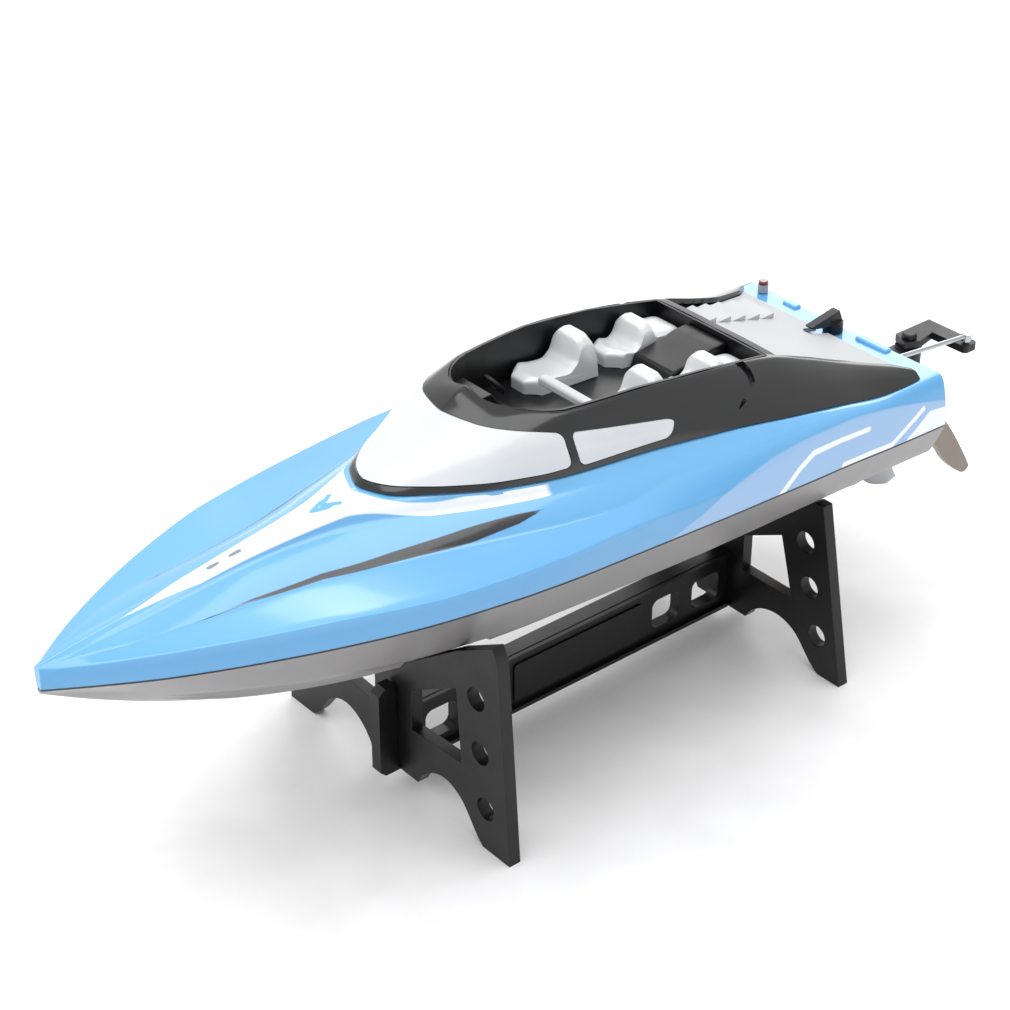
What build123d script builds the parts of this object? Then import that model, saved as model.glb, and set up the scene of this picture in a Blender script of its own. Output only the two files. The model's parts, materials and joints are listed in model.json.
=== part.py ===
"""Electric racing boat on a slot-together display stand, in millimetres.

+X points to the bow, +Y to port and +Z up. The origin is on the ground, under the middle of
the whole length, so the stand's feet rest on Z = 0.
"""

from build123d import *
from math import atan2, cos, degrees, hypot, radians, sin
import os

os.makedirs("parts", exist_ok=True)

# Driving dimensions ------------------------------------------------------------------------
bow_x = 180.8
transom_x = -109.0
keel_z = 38.5
rocker_x = 30.0
stem_rise = 43.4
stem_power = 2.15
skin = 1.8
seal_gap = 0.6
air_gap = 0.3
running = 0.05

stand_sheet = 4.0
front_plate_x = 67.0
rear_plate_x = -66.0

shaft_slope = 9.5
shaft_radius = 1.5
prop_x = -124.0
prop_z = 33.5
motor_radius = 12.0

rudder_x = -142.5
tiller_z = 71.6
tiller_reach = (-11.6, 14.1)
linkage_run = (74.0, -11.0)

hatch_tilt = -3.6
hatch_x = 4.0
hatch_z = 92.6

# Table of offsets: each row is one station, with the half-breadth and height of the chine,
# the hull-to-deck joint, the deck edge, the side ledge, the spine crease and the flat top.
offsets = [
    (bow_x, (0.5, 82.3), (1.0, 83.0), (1.3, 89.2), (1.1, 89.7), (0.8, 90.0), (0.5, 90.15), 90.2),
    (168.0, (3.2, 78.6), (8.6, 82.9), (9.8, 90.3), (6.2, 91.0), (3.0, 91.6), (1.6, 92.0), 92.2),
    (154.0, (7.4, 73.8), (16.2, 82.8), (17.4, 91.2), (11.0, 91.9), (3.2, 93.0), (2.0, 93.8), 94.1),
    (137.0, (12.8, 69.8), (23.8, 82.7), (25.2, 91.9), (13.2, 92.3), (3.6, 95.2), (2.4, 96.3), 96.7),
    (115.0, (19.4, 66.2), (32.0, 82.5), (33.4, 92.2), (15.8, 92.4), (4.4, 98.0), (3.6, 99.4), 99.9),
    (96.0, (24.2, 64.0), (37.8, 82.3), (39.0, 91.2), (19.6, 92.4), (6.8, 99.0), (5.6, 101.4), 102.0),
    (83.0, (26.8, 62.9), (40.8, 82.1), (42.0, 90.6), (23.6, 92.4), (11.2, 99.4), (9.0, 103.0), 103.6),
    (70.0, (29.0, 62.1), (42.8, 81.7), (44.0, 90.4), (27.2, 92.4), (17.0, 99.3), (14.9, 103.4), 103.55),
    (55.0, (31.4, 61.7), (44.2, 80.9), (45.8, 90.4), (31.8, 92.4), (23.6, 99.2), (22.0, 102.5), 102.65),
    (38.0, (33.4, 61.6), (44.7, 79.8), (47.0, 90.5), (36.7, 92.4), (28.8, 98.9), (27.3, 101.4), 101.55),
    (19.0, (34.8, 61.6), (44.9, 78.9), (46.9, 90.0), (39.6, 92.2), (32.3, 98.4), (29.9, 100.3), 100.45),
    (0.0, (36.2, 61.6), (45.1, 78.0), (45.4, 87.2), (38.4, 93.0), (33.4, 97.4), (31.0, 99.2), 99.35),
    (-18.0, (37.2, 61.6), (45.2, 77.1), (44.6, 86.0), (40.4, 91.8), (36.0, 96.2), (33.6, 98.0), 98.15),
    (-33.0, (37.6, 61.6), (45.2, 76.5), (44.0, 87.4), (41.4, 92.2), (38.6, 95.4), (36.6, 96.9), 97.05),
    (-50.0, (37.9, 61.6), (45.2, 75.8), (43.4, 89.4), (41.8, 92.2), (40.0, 94.1), (38.4, 95.0), 95.15),
    (-66.0, (38.3, 61.6), (45.1, 75.2), (43.5, 89.4), (42.4, 91.2), (41.0, 92.2), (39.2, 92.7), 92.85),
    (-88.0, (38.9, 61.6), (44.8, 73.8), (43.7, 86.0), (42.8, 88.0), (41.6, 89.2), (40.2, 89.6), 89.3),
    (transom_x, (39.7, 61.6), (44.6, 72.9), (43.7, 81.8), (42.6, 86.4), (41.4, 89.0), (39.4, 89.6), 88.9),
]

# Canopy stations: half-breadth of the foot, half-breadth and height of the shoulder and the
# rim, then the height of the crown. The foot follows the deck.
canopy_rows = [
    (81.0, 1.4, (1.0, 104.4), (0.6, 104.6), 104.7),
    (77.5, 8.6, (6.0, 105.3), (3.2, 106.2), 106.5),
    (70.0, 14.6, (11.0, 107.4), (5.8, 109.4), 109.9),
    (60.0, 20.0, (16.4, 109.2), (9.2, 113.2), 114.2),
    (52.0, 23.4, (20.4, 110.6), (12.0, 115.6), 117.4),
    (44.5, 25.6, (22.4, 112.4), (15.2, 117.2), 121.2),
    (36.0, 27.8, (24.6, 112.6), (18.4, 117.8), 121.4),
    (27.0, 29.1, (26.2, 111.2), (22.8, 117.2), 117.6),
    (2.5, 31.0, (29.0, 108.0), (25.5, 116.7), 117),
    (-22.0, 34.2, (31.0, 106.0), (25.9, 113.8), 114),
    (-50.5, 38.2, (33.2, 101.6), (24.6, 108.6), 108.8),
    (-66.0, 39.0, (34.4, 98.4), (25.6, 103.4), 103.6),
    (-80.0, 39.4, (35.6, 94.9), (28.2, 98.4), 98.6),
    (-95.0, 39.9, (37.6, 92.0), (33.2, 94.0), 94.2),
    (-101.0, 39.6, (38.8, 90.8), (37.2, 92.0), 92.2),
]


def keel_height(x):
    """Height of the keel line, which rises forward of the rocker point to the stem."""
    run = max(0.0, (x - rocker_x) / (bow_x - rocker_x))
    return keel_z + stem_rise * run**stem_power


def mirrored(points):
    """Close a half outline, given from the keel up to the crown, about the centre plane."""
    return points + [(-y, z) for y, z in reversed(points) if y > 0]


def hull_section(row, inset):
    """One station of the whole hull and deck, drawn in from the outside by the inset."""
    x, chine, joint, edge, ledge, crease, top, crown = row
    half = [
        (0.0, keel_height(x) + 1.2 * inset),
        (chine[0] - inset, chine[1] + 0.6 * inset),
        (joint[0] - inset, joint[1]),
        (edge[0] - inset, edge[1] - 0.7 * inset),
        (ledge[0] - 0.4 * inset, ledge[1] - inset),
        (crease[0] - 0.6 * inset, crease[1] - inset),
        (top[0] - 0.5 * inset, top[1] - inset),
        (0.0, crown - inset),
    ]
    return mirrored(half)


def deck_top(x):
    """Height of the deck's highest line at one station along the boat."""
    for ahead, astern in zip(offsets, offsets[1:]):
        if astern[0] <= x <= ahead[0]:
            share = (x - astern[0]) / (ahead[0] - astern[0])
            low, high = max(astern[6][1], astern[7]), max(ahead[6][1], ahead[7])
            return low + share * (high - low)
    return offsets[-1][7]


def canopy_section(row, inset, drop):
    """One station of the canopy, drawn in by the inset and carried down below its foot."""
    x, foot, shoulder, rim, crown = row
    foot_z = deck_top(x) + air_gap
    half = [
        (0.0, foot_z - drop),
        (foot - inset, foot_z - drop),
        (shoulder[0] - inset, shoulder[1] - 0.4 * inset),
        (rim[0] - 0.6 * inset, rim[1] - inset),
        (0.0, crown - inset),
    ]
    return mirrored(half)


def hull_envelope(inset, ahead=500.0, astern=-500.0):
    """Solid hull and deck shape through the stations that lie between astern and ahead."""
    with BuildPart() as envelope:
        for row in offsets:
            if astern <= row[0] <= ahead:
                with BuildSketch(Plane.YZ.offset(row[0])):
                    Polygon(*hull_section(row, inset), align=None)
        loft(ruled=True)
    return envelope.part


def canopy_envelope(inset, drop, ahead=500.0, astern=-500.0):
    """Solid canopy shape through the stations that lie between astern and ahead."""
    with BuildPart() as envelope:
        for row in canopy_rows:
            if astern <= row[0] <= ahead:
                with BuildSketch(Plane.YZ.offset(row[0])):
                    Polygon(*canopy_section(row, inset, drop), align=None)
        loft(ruled=True)
    return envelope.part


def finish(builder, label):
    """Label one finished piece and write it to its own file."""
    builder.part.label = label
    export_step(builder.part, f"parts/{label}.step")
    print(label, round(builder.part.volume, 1))


def joint_band(low, high):
    """Solid between two heights above the hull-to-deck joint line, across the whole beam."""
    line = [(row[0], row[2][1]) for row in offsets]
    line = [(bow_x + 5, line[0][1])] + line + [(transom_x - 5, line[-1][1])]
    lower = [(x, z + low) for x, z in line]
    upper = [(x, z + high) for x, z in reversed(line)]
    with BuildPart() as band:
        with BuildSketch(Plane.XZ):
            Polygon(*lower, *upper, align=None)
        extrude(amount=60, both=True)
    return band.part


shaft_axis = Plane(
    origin=(prop_x, 0, prop_z),
    x_dir=(0, 1, 0),
    z_dir=(cos(radians(shaft_slope)), 0, sin(radians(shaft_slope))),
)
hatch_plane = Plane(origin=(hatch_x, 0, hatch_z), x_dir=(1, 0, 0), z_dir=(0, 0, 1)).rotated(
    (0, hatch_tilt, 0)
)


def shaft_rod(start, length, radius, bore=0.0):
    """Round bar on the propeller shaft's axis, from a distance ahead of the propeller."""
    with BuildPart() as rod:
        with BuildSketch(shaft_axis.offset(start)):
            Circle(radius)
            if bore > 0:
                Circle(bore, mode=Mode.SUBTRACT)
        extrude(amount=length)
    return rod.part


# Envelopes shared by the shells -------------------------------------------------------------
outer_shape = hull_envelope(0.0)
inner_shape = hull_envelope(skin, ahead=168.0, astern=-88.0)
fitted_shape = hull_envelope(skin + 0.15, ahead=168.0, astern=-88.0)

# Aft end of the hollow: straight on from the last inner station to the inside of the transom.
with BuildPart() as aft_room:
    for row in offsets[-2:]:
        with BuildSketch(Plane.YZ.offset(max(row[0], transom_x + 2.2))):
            Polygon(*hull_section(row, skin), align=None)
    loft(ruled=True)

# Stand --------------------------------------------------------------------------------------
rail_half_slot = stand_sheet / 2 + 0.1


def stand_plate(plane, outline, window, holes, arch, slot_top):
    """Flat stand plate with a pair of feet, windows and holes, slotted for the rail."""
    with BuildPart() as plate:
        with BuildSketch(plane):
            with BuildLine():
                Polyline(*outline)
                Spline(outline[-1], *arch, (11.0, 5.0))
                Line((11.0, 5.0), (0.0, 5.0))
                Line((0.0, 5.0), outline[0])
            make_face()
            Polygon(*window, align=None, mode=Mode.SUBTRACT)
            with Locations(*holes):
                Circle(3.6, mode=Mode.SUBTRACT)
            mirror(about=Plane.YZ)
            with Locations((0, slot_top / 2)):
                Rectangle(2 * rail_half_slot, slot_top, mode=Mode.SUBTRACT)
        extrude(amount=stand_sheet)
    return plate


front_plate = stand_plate(
    Plane.YZ.offset(front_plate_x),
    [(0.0, 39.8), (8.0, 46.0), (29.2, 61.4), (44.4, 70.2), (46.6, 66.0), (52.2, 0.0), (40.6, 0.0)],
    [(8.6, 36.4), (28.8, 48.6), (31.0, 24.0), (8.6, 22.6)],
    [(37.4, 49.6), (39.2, 32.2), (41.6, 14.2)],
    [(36.2, 4.6), (31.0, 11.0), (23.4, 14.0), (15.4, 10.8)],
    18.6,
)
finish(front_plate, "front_plate")

rear_plate = stand_plate(
    Plane.YZ.offset(rear_plate_x),
    [(0.0, 37.6), (36.2, 59.6), (39.6, 59.6), (52.2, 0.0), (43.2, 0.0)],
    [(8.2, 34.2), (23.8, 42.0), (29.8, 21.6), (8.2, 21.6)],
    [(33.6, 44.2), (36.6, 29.2), (41.2, 13.6)],
    [(37.6, 4.6), (32.4, 10.0), (24.0, 12.8), (14.6, 9.6)],
    18.6,
)
finish(rear_plate, "rear_plate")

rail_low = 4.2
rail_high = 25.8
panel_mid = 1.5
with BuildPart() as centre_rail:
    with BuildSketch(Plane.XZ.offset(-stand_sheet / 2)):
        Polygon(
            (77.6, 6.0), (77.6, 33.0), (75.2, 35.0), (71.6, 35.0), (71.6, rail_high),
            (-66.6, rail_high), (-66.6, 33.0), (-70.4, 33.0), (-72.6, 30.6), (-72.6, rail_low),
            (75.6, rail_low), align=None,
        )
        for side in (-1, 1):
            with Locations((panel_mid + side * 36.5, 14.6), (panel_mid + side * 53.6, 14.6)):
                RectangleRounded(11.6, 10.4, 2.6, mode=Mode.SUBTRACT)
        for plate_x in (front_plate_x, rear_plate_x):
            with Locations((plate_x + stand_sheet / 2, 18.6 + 12)):
                Rectangle(stand_sheet + 0.2, 24, mode=Mode.SUBTRACT)
    extrude(amount=stand_sheet)
    for z in (rail_low + 1.0, rail_high - 1.6):
        with BuildSketch(Plane.XY.offset(z)):
            with Locations((panel_mid, 0)):
                Rectangle(126.0, stand_sheet + 3.2)
        extrude(amount=1.4)
    with BuildSketch(Plane.XZ.offset(-(stand_sheet / 2 + 0.6))):
        with Locations((panel_mid, 15.0)):
            RectangleRounded(52.0, 13.4, 1.4)
    extrude(amount=stand_sheet + 1.2)
finish(centre_rail, "centre_rail")

# Steering geometry ----------------------------------------------------------------------------
rod_start = (rudder_x + tiller_reach[0], tiller_reach[1])
rod_end = (rod_start[0] + linkage_run[0], rod_start[1] + linkage_run[1])
servo_pivot = (rudder_x + linkage_run[0], linkage_run[1])
rod_z = tiller_z + 5.0
rod_slope = linkage_run[1] / linkage_run[0]
guide_y = rod_start[1] + rod_slope * (transom_x - rod_start[0]) - 0.6

# Hull, deck and the seal between them ---------------------------------------------------------
bracket_screws_at = [(-6.2, 60.0), (6.2, 60.0), (-6.2, 68.0), (6.2, 68.0)]
drain_at = (-24.0, 62.0)
outlet_at = (25.0, 64.0)
contacts_at = [(-30.0, 10.0), (-30.0, -10.0)]

with BuildPart() as hull_shell:
    add(outer_shape)
    add(inner_shape, mode=Mode.SUBTRACT)
    add(aft_room.part, mode=Mode.SUBTRACT)
    add(joint_band(-80, 0), mode=Mode.INTERSECT)
    add(shaft_rod(-5, 90, 3.0 + running), mode=Mode.SUBTRACT)
    with BuildSketch(Plane.YZ.offset(transom_x - 2)):
        with Locations(drain_at, outlet_at):
            Circle(2.0)
        with Locations(*bracket_screws_at):
            Circle(1.0)
    extrude(amount=6, mode=Mode.SUBTRACT)
    with BuildSketch(Plane.XY.offset(38)):
        with Locations(*contacts_at):
            Circle(1.25)
    extrude(amount=14, mode=Mode.SUBTRACT)
finish(hull_shell, "hull_shell")

with BuildPart() as joint_seal:
    add(hull_envelope(0.3))
    add(inner_shape, mode=Mode.SUBTRACT)
    add(aft_room.part, mode=Mode.SUBTRACT)
    add(joint_band(0, seal_gap), mode=Mode.INTERSECT)
finish(joint_seal, "joint_seal")

pan_length = 108.0
pan_width = 37.0
lamp_at = (-106.4, -32.5)
latch_at = (-104.6, 0.0)

with BuildPart() as hatch_pan:
    with BuildSketch(hatch_plane.offset(-2)):
        RectangleRounded(pan_length + 4, pan_width + 3, 7)
    extrude(amount=12)
    add(outer_shape, mode=Mode.INTERSECT)

with BuildPart() as deck_shell:
    add(outer_shape)
    add(inner_shape, mode=Mode.SUBTRACT)
    add(aft_room.part, mode=Mode.SUBTRACT)
    add(joint_band(seal_gap, 80), mode=Mode.INTERSECT)
    add(hatch_pan.part)
    with BuildSketch(hatch_plane):
        RectangleRounded(pan_length, pan_width, 6)
    extrude(amount=14, mode=Mode.SUBTRACT)
    with BuildSketch(hatch_plane.offset(-4)):
        RectangleRounded(pan_length - 10, pan_width - 9, 4)
    extrude(amount=8, mode=Mode.SUBTRACT)
    with BuildSketch(Plane.XY.offset(98)):
        with Locations((75.0, 0)):
            Rectangle(4.4, 10.8)
    extrude(amount=8, mode=Mode.SUBTRACT)
    with BuildSketch(Plane.XY.offset(86)):
        with Locations((-107.4, -20.5)):
            RectangleRounded(3.2, 6.0, 1.0)
        with Locations((-107.4, 14.6)):
            RectangleRounded(3.2, 13.0, 1.0)
    extrude(amount=4.2)
    with BuildSketch(Plane.YZ.offset(transom_x - 2)):
        with Locations((guide_y, rod_z)):
            RectangleRounded(16.8, 4.4, 1.4)
    extrude(amount=6, mode=Mode.SUBTRACT)
    with BuildSketch(Plane.XY.offset(85)):
        with Locations(latch_at):
            Circle(1.2 + running)
    extrude(amount=8, mode=Mode.SUBTRACT)
finish(deck_shell, "deck_shell")

with BuildPart() as hatch_seal:
    with BuildSketch(hatch_plane):
        RectangleRounded(pan_length - 1, pan_width - 1, 5.5)
        RectangleRounded(pan_length - 9, pan_width - 8, 4, mode=Mode.SUBTRACT)
    extrude(amount=0.8)
finish(hatch_seal, "hatch_seal")

hatch_screws_at = [(pan_length - 6) / 2, (pan_width - 5.6) / 2]
with BuildPart() as inner_hatch:
    with BuildSketch(hatch_plane.offset(0.8)):
        RectangleRounded(pan_length - 0.8, pan_width - 0.8, 5.6)
        with GridLocations(2 * hatch_screws_at[0], 2 * hatch_screws_at[1], 2, 2):
            Circle(1.0, mode=Mode.SUBTRACT)
    extrude(amount=1.6)
    with BuildSketch(hatch_plane.offset(2.4)):
        with Locations((0, -8), (0, 8)):
            RectangleRounded(62, 5, 2)
    extrude(amount=0.9)
finish(inner_hatch, "inner_hatch")

with BuildPart() as hatch_screws:
    with BuildSketch(hatch_plane.offset(0.8)):
        with GridLocations(2 * hatch_screws_at[0], 2 * hatch_screws_at[1], 2, 2):
            Circle(1.0)
    extrude(amount=1.6)
    with BuildSketch(hatch_plane.offset(2.4)):
        with GridLocations(2 * hatch_screws_at[0], 2 * hatch_screws_at[1], 2, 2):
            Circle(1.4)
    extrude(amount=1.0)
finish(hatch_screws, "hatch_screws")

# Canopy ---------------------------------------------------------------------------------------
wall = 1.6
glaze = 1.0
canopy_outer = canopy_envelope(0.0, 0.0)
canopy_glaze = canopy_envelope(glaze, 0.0, ahead=77.5)
canopy_inner = canopy_envelope(wall, 4.0, ahead=77.5, astern=-95.0)

canopy_pivot = (80.9, 104.35)
cockpit_plan = [
    (44.2, 0), (43.9, 3.5), (42.9, 7.2), (41.0, 11.0), (38.4, 14.3), (35.0, 17.3),
    (31.2, 19.8), (27.0, 21.6), (20.0, 22.8), (11.0, 23.9), (2.5, 24.6), (-10.0, 25.0),
    (-22.0, 25.0), (-36.0, 24.5), (-50.0, 23.7),
]
well_plan = [(-53.4, 23.6), (-66, 24.6), (-80, 27.2), (-95, 32.0), (-100.1, 35.4)]
well_mouth = [(-99.0, 34.6), (-103.0, 37.2)]
windshield_side = [
    (80.4, 105.3), (80.4, 112), (60, 122), (54.2, 117.4), (43.9, 115.7), (35.6, 114.2),
    (30.2, 112.9), (29.4, 103.3), (38, 103.5), (55, 104.5), (70, 105.4),
]
side_window_side = [(27.8, 112.4), (-6.0, 106.6), (-7.2, 105.0), (-4.4, 101.4), (26.8, 102.6)]


def both_sides(points):
    """Closed outline from one side's points, with the other side's points mirrored."""
    return points + [(x, -y) for x, y in reversed(points) if y > 0]


def plan_block(points, low, height):
    """Upright prism over a plan outline that is the same on both sides."""
    with BuildPart() as block:
        with BuildSketch(Plane.XY.offset(low)):
            Polygon(*both_sides(points), align=None)
        extrude(amount=height)
    return block.part


def narrowed(points, gap):
    """The same plan outline with its sides and ends drawn in by a gap."""
    front, back = max(x for x, y in points), min(x for x, y in points)
    return [(min(max(x, back + gap), front - gap), max(y - gap, 0.0)) for x, y in points]


def side_block(points, low_y, high_y):
    """Prism across the boat over an outline drawn in side view."""
    with BuildPart() as block:
        with BuildSketch(Plane.XZ.offset(-high_y)):
            Polygon(*points, align=None)
        extrude(amount=high_y - low_y)
    return block.part


windshield_block = side_block(windshield_side, -40, 40)
port_window_block = side_block(side_window_side, 15, 45)
starboard_window_block = side_block(side_window_side, -45, -15)
deck_slope = 14.85
deck_plane = Plane(origin=(-54.0, 0, 103.2)).rotated((0, -deck_slope, 0))

with BuildPart() as windshield:
    add(canopy_outer)
    add(canopy_glaze, mode=Mode.SUBTRACT)
    add(windshield_block, mode=Mode.INTERSECT)
    split(bisect_by=Plane.YZ.offset(77.4), keep=Keep.BOTTOM)
finish(windshield, "windshield")

side_windows = []
for side_name, block in (("port", port_window_block), ("starboard", starboard_window_block)):
    with BuildPart() as side_window:
        add(canopy_outer)
        add(canopy_glaze, mode=Mode.SUBTRACT)
        add(block, mode=Mode.INTERSECT)
    side_windows.append(side_window.part)
    finish(side_window, f"side_window_{side_name}")

with BuildPart() as canopy_shell:
    add(canopy_outer)
    add(canopy_inner, mode=Mode.SUBTRACT)
    add(plan_block(cockpit_plan, 85, 50), mode=Mode.SUBTRACT)
    add(plan_block(well_plan, 85, 50), mode=Mode.SUBTRACT)
    add(plan_block(well_mouth, 85, 50), mode=Mode.SUBTRACT)
    with BuildSketch(Plane.XY.offset(101.0)):
        with Locations((75.2, 0)):
            Rectangle(1.6, 9.0)
    extrude(amount=4.6)
    with BuildSketch(Plane.XZ.offset(-1.2)):
        with Locations(canopy_pivot):
            Circle(0.6)
    extrude(amount=2.4)
    add(windshield.part, mode=Mode.SUBTRACT)
    for side_window in side_windows:
        add(side_window, mode=Mode.SUBTRACT)
finish(canopy_shell, "canopy_shell")

tub_wall = 0.9
floor_plane = Plane(origin=(4.0, 0, 100.1)).rotated((0, hatch_tilt, 0))
tub_outline = narrowed(cockpit_plan, air_gap)
tub_room = narrowed(tub_outline, tub_wall)


def above_plane(plane, height=60):
    """Wide block on one side of a plane, for keeping what stands above it."""
    with BuildPart() as block:
        with BuildSketch(plane):
            Rectangle(260, 110)
        extrude(amount=height)
    return block.part


with BuildPart() as tub_hollow:
    add(plan_block(tub_room, 85, 50))
    add(above_plane(floor_plane.offset(1.4)), mode=Mode.INTERSECT)

with BuildPart() as cockpit_tub:
    add(plan_block(tub_outline, 85, 50))
    add(above_plane(floor_plane), mode=Mode.INTERSECT)
    add(canopy_outer, mode=Mode.INTERSECT)
    add(tub_hollow.part, mode=Mode.SUBTRACT)
finish(cockpit_tub, "cockpit_tub")

seat_inner = 9.2
seat_outer = 21.8
front_seat_side = [
    (12.0, 96.0), (12.2, 106.2), (9.6, 107.4), (-2.6, 105.4), (-5.4, 107.8), (-7.4, 114.6),
    (-10.4, 115.2), (-12.6, 112.0), (-13.8, 96.0),
]
rear_seat_side = [
    (-19.4, 96.0), (-19.2, 104.6), (-22.0, 105.6), (-28.4, 103.8), (-30.4, 105.8), (-32.2, 111.2),
    (-34.8, 111.4), (-36.4, 107.2), (-47.6, 105.8), (-48.2, 96.0),
]
for place, outline in (("front", front_seat_side), ("rear", rear_seat_side)):
    for side_name, low_y in (("port", seat_inner), ("starboard", -seat_outer)):
        with BuildPart() as seat:
            add(side_block(outline, low_y, low_y + seat_outer - seat_inner))
            add(above_plane(floor_plane.offset(1.4)), mode=Mode.INTERSECT)
            fillet(seat.edges().filter_by(Axis.Y).group_by(Axis.Z)[-1], 1.0)
        finish(seat, f"seat_{place}_{side_name}")

with BuildPart() as helm_console:
    add(side_block([(40, 96), (40, 112), (31, 112.6), (27.5, 107.0), (24, 106.0), (22.5, 96)], -17, -4))
    add(above_plane(floor_plane.offset(1.4)), mode=Mode.INTERSECT)
    add(plan_block(narrowed(tub_room, 0.1), 85, 50), mode=Mode.INTERSECT)
finish(helm_console, "helm_console")

console_side = [(-48.6, 96), (-48.6, 107.4), (-43, 107.0), (-37, 105.6), (-27, 104.4), (-23.5, 96)]
with BuildPart() as centre_console:
    add(side_block(console_side, -8.4, 8.4))
    add(above_plane(floor_plane.offset(1.4)), mode=Mode.INTERSECT)
finish(centre_console, "centre_console")

with BuildPart() as steering_wheel:
    with BuildSketch(Plane(origin=(25.2, -10.5, 110.6), z_dir=(-0.8, 0, 0.6))):
        Circle(4.0)
        Circle(3.1, mode=Mode.SUBTRACT)
        Rectangle(7.0, 1.0)
        Circle(1.1)
    extrude(amount=0.9)
finish(steering_wheel, "steering_wheel")

with BuildPart() as cockpit_rail:
    with BuildSketch(Plane.XZ.offset(-22.0)):
        with Locations((17.6, 115.3)):
            RectangleRounded(3.4, 2.6, 0.8)
    extrude(amount=20.0)
    add(plan_block(narrowed(tub_room, 0.1), 85, 50), mode=Mode.INTERSECT)
finish(cockpit_rail, "cockpit_rail")

deck_panel_outline = narrowed(well_plan, air_gap)
with BuildPart() as rear_deck:
    add(plan_block(deck_panel_outline, 80, 40))
    add(above_plane(deck_plane.offset(-1.4), 1.4), mode=Mode.INTERSECT)
    with BuildSketch(Plane.XY.offset(80)):
        with Locations((-100, 0)):
            SlotOverall(16, 4.8)
    extrude(amount=30, mode=Mode.SUBTRACT)
    split(bisect_by=Plane.XY.offset(89.85), keep=Keep.TOP)
finish(rear_deck, "rear_deck")

louvre_pitch = 6.6
with BuildPart() as deck_louvres:
    for step in range(5):
        fore = deck_plane.from_local_coords(Vector(-5.0 - step * louvre_pitch, 0, 0))
        aft = deck_plane.from_local_coords(Vector(-11.0 - step * louvre_pitch, 0, 0))
        lip = deck_plane.from_local_coords(Vector(-10.7 - step * louvre_pitch, 0, 1.8))
        with BuildSketch(Plane.XZ.offset(12)):
            Polygon((fore.X, fore.Z), (aft.X, aft.Z), (lip.X, lip.Z), align=None)
        extrude(amount=10.8 + 0.6 * step)
finish(deck_louvres, "deck_louvres")

# Stern fittings on the deck --------------------------------------------------------------------
latch_x = latch_at[0]
latch_low = 89.4
with BuildPart() as latch_knob:
    with BuildSketch(Plane.XY.offset(latch_low)):
        with Locations(latch_at):
            Circle(3.2)
    extrude(amount=3.4)
    with BuildSketch(Plane.XZ.offset(-1.5)):
        Polygon(
            (latch_x - 2.8, 92.4), (latch_x - 1.0, 96.6), (latch_x + 1.4, 96.2),
            (latch_x + 11.4, 94.4), (latch_x + 10.8, 93.6), (latch_x + 2.8, 92.0), align=None,
        )
    extrude(amount=3.0)
    with BuildSketch(Plane.XY.offset(86.2)):
        with Locations(latch_at):
            Circle(1.2)
    extrude(amount=4.0)
finish(latch_knob, "latch_knob")

with BuildPart() as stern_light_post:
    with BuildSketch(Plane.XY.offset(89.9)):
        with Locations(lamp_at):
            Circle(1.7)
    extrude(amount=2.7)
finish(stern_light_post, "stern_light_post")

with BuildPart() as stern_light_lens:
    with BuildSketch(Plane.XY.offset(92.6)):
        with Locations(lamp_at):
            Circle(1.6)
    extrude(amount=1.2)
    fillet(stern_light_lens.edges().filter_by(GeomType.CIRCLE).sort_by(Axis.Z)[-1], 0.5)
finish(stern_light_lens, "stern_light_lens")

# Drive line, measured along the shaft from the propeller ----------------------------------------
with BuildPart() as stern_tube:
    add(shaft_rod(8, 104, 3.0, shaft_radius + running))
finish(stern_tube, "stern_tube")

with BuildPart() as drive_shaft:
    add(shaft_rod(-10, 146, shaft_radius))
finish(drive_shaft, "drive_shaft")

blade_radius = 13.6
blade_sections = (
    (2.6, 3.4, 0.7, 40),
    (8.4, 5.0, 0.5, 34),
    (blade_radius, 2.4, 0.3, 26),
)
with BuildPart() as propeller:
    add(shaft_rod(-4.5, 9.5, 3.2))
    for turn in (0, 120, 240):
        root = Plane(shaft_axis.location * Location((0, 0, 0), (0, 0, turn)))
        outward = Plane(origin=root.origin, x_dir=root.z_dir, z_dir=root.x_dir)
        for reach, chord, thickness, twist in blade_sections:
            slice_plane = Plane(outward.location * Location((0, 0, reach), (0, 0, twist)))
            with BuildSketch(slice_plane):
                Ellipse(chord, thickness)
        loft()
    add(shaft_rod(-8, 16, shaft_radius), mode=Mode.SUBTRACT)
finish(propeller, "propeller")

with BuildPart() as propeller_nut:
    with BuildSketch(shaft_axis.offset(-8.0)):
        RegularPolygon(2.8, 6)
        Circle(shaft_radius, mode=Mode.SUBTRACT)
    extrude(amount=3.3)
finish(propeller_nut, "propeller_nut")

with BuildPart() as propeller_strut:
    with BuildSketch(Plane.XZ.offset(-1.2)):
        Polygon(
            (transom_x - 0.05, 56), (transom_x - 2.2, 56), (transom_x - 3.4, 44),
            (transom_x - 6.6, 36), (transom_x - 0.9, 36.6), (transom_x - 0.05, 42), align=None,
        )
    extrude(amount=2.4)
    with BuildSketch(Plane.YZ.offset(transom_x - 2.05)):
        with Locations((0, 49.0)):
            RectangleRounded(13, 14, 2)
    extrude(amount=2.0)
    add(shaft_rod(8.4, 5.6, 4.6))
    add(shaft_rod(6.0, 12.0, 3.0), mode=Mode.SUBTRACT)
finish(propeller_strut, "propeller_strut")

motor_front = 147.0
motor_length = 31.0
motor_screw_reach = 8.0
with BuildPart() as shaft_coupling:
    add(shaft_rod(126, 18, 4.0))
    add(shaft_rod(126, 10, shaft_radius), mode=Mode.SUBTRACT)
    add(shaft_rod(136, 8, 1.15), mode=Mode.SUBTRACT)
finish(shaft_coupling, "shaft_coupling")

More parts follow.
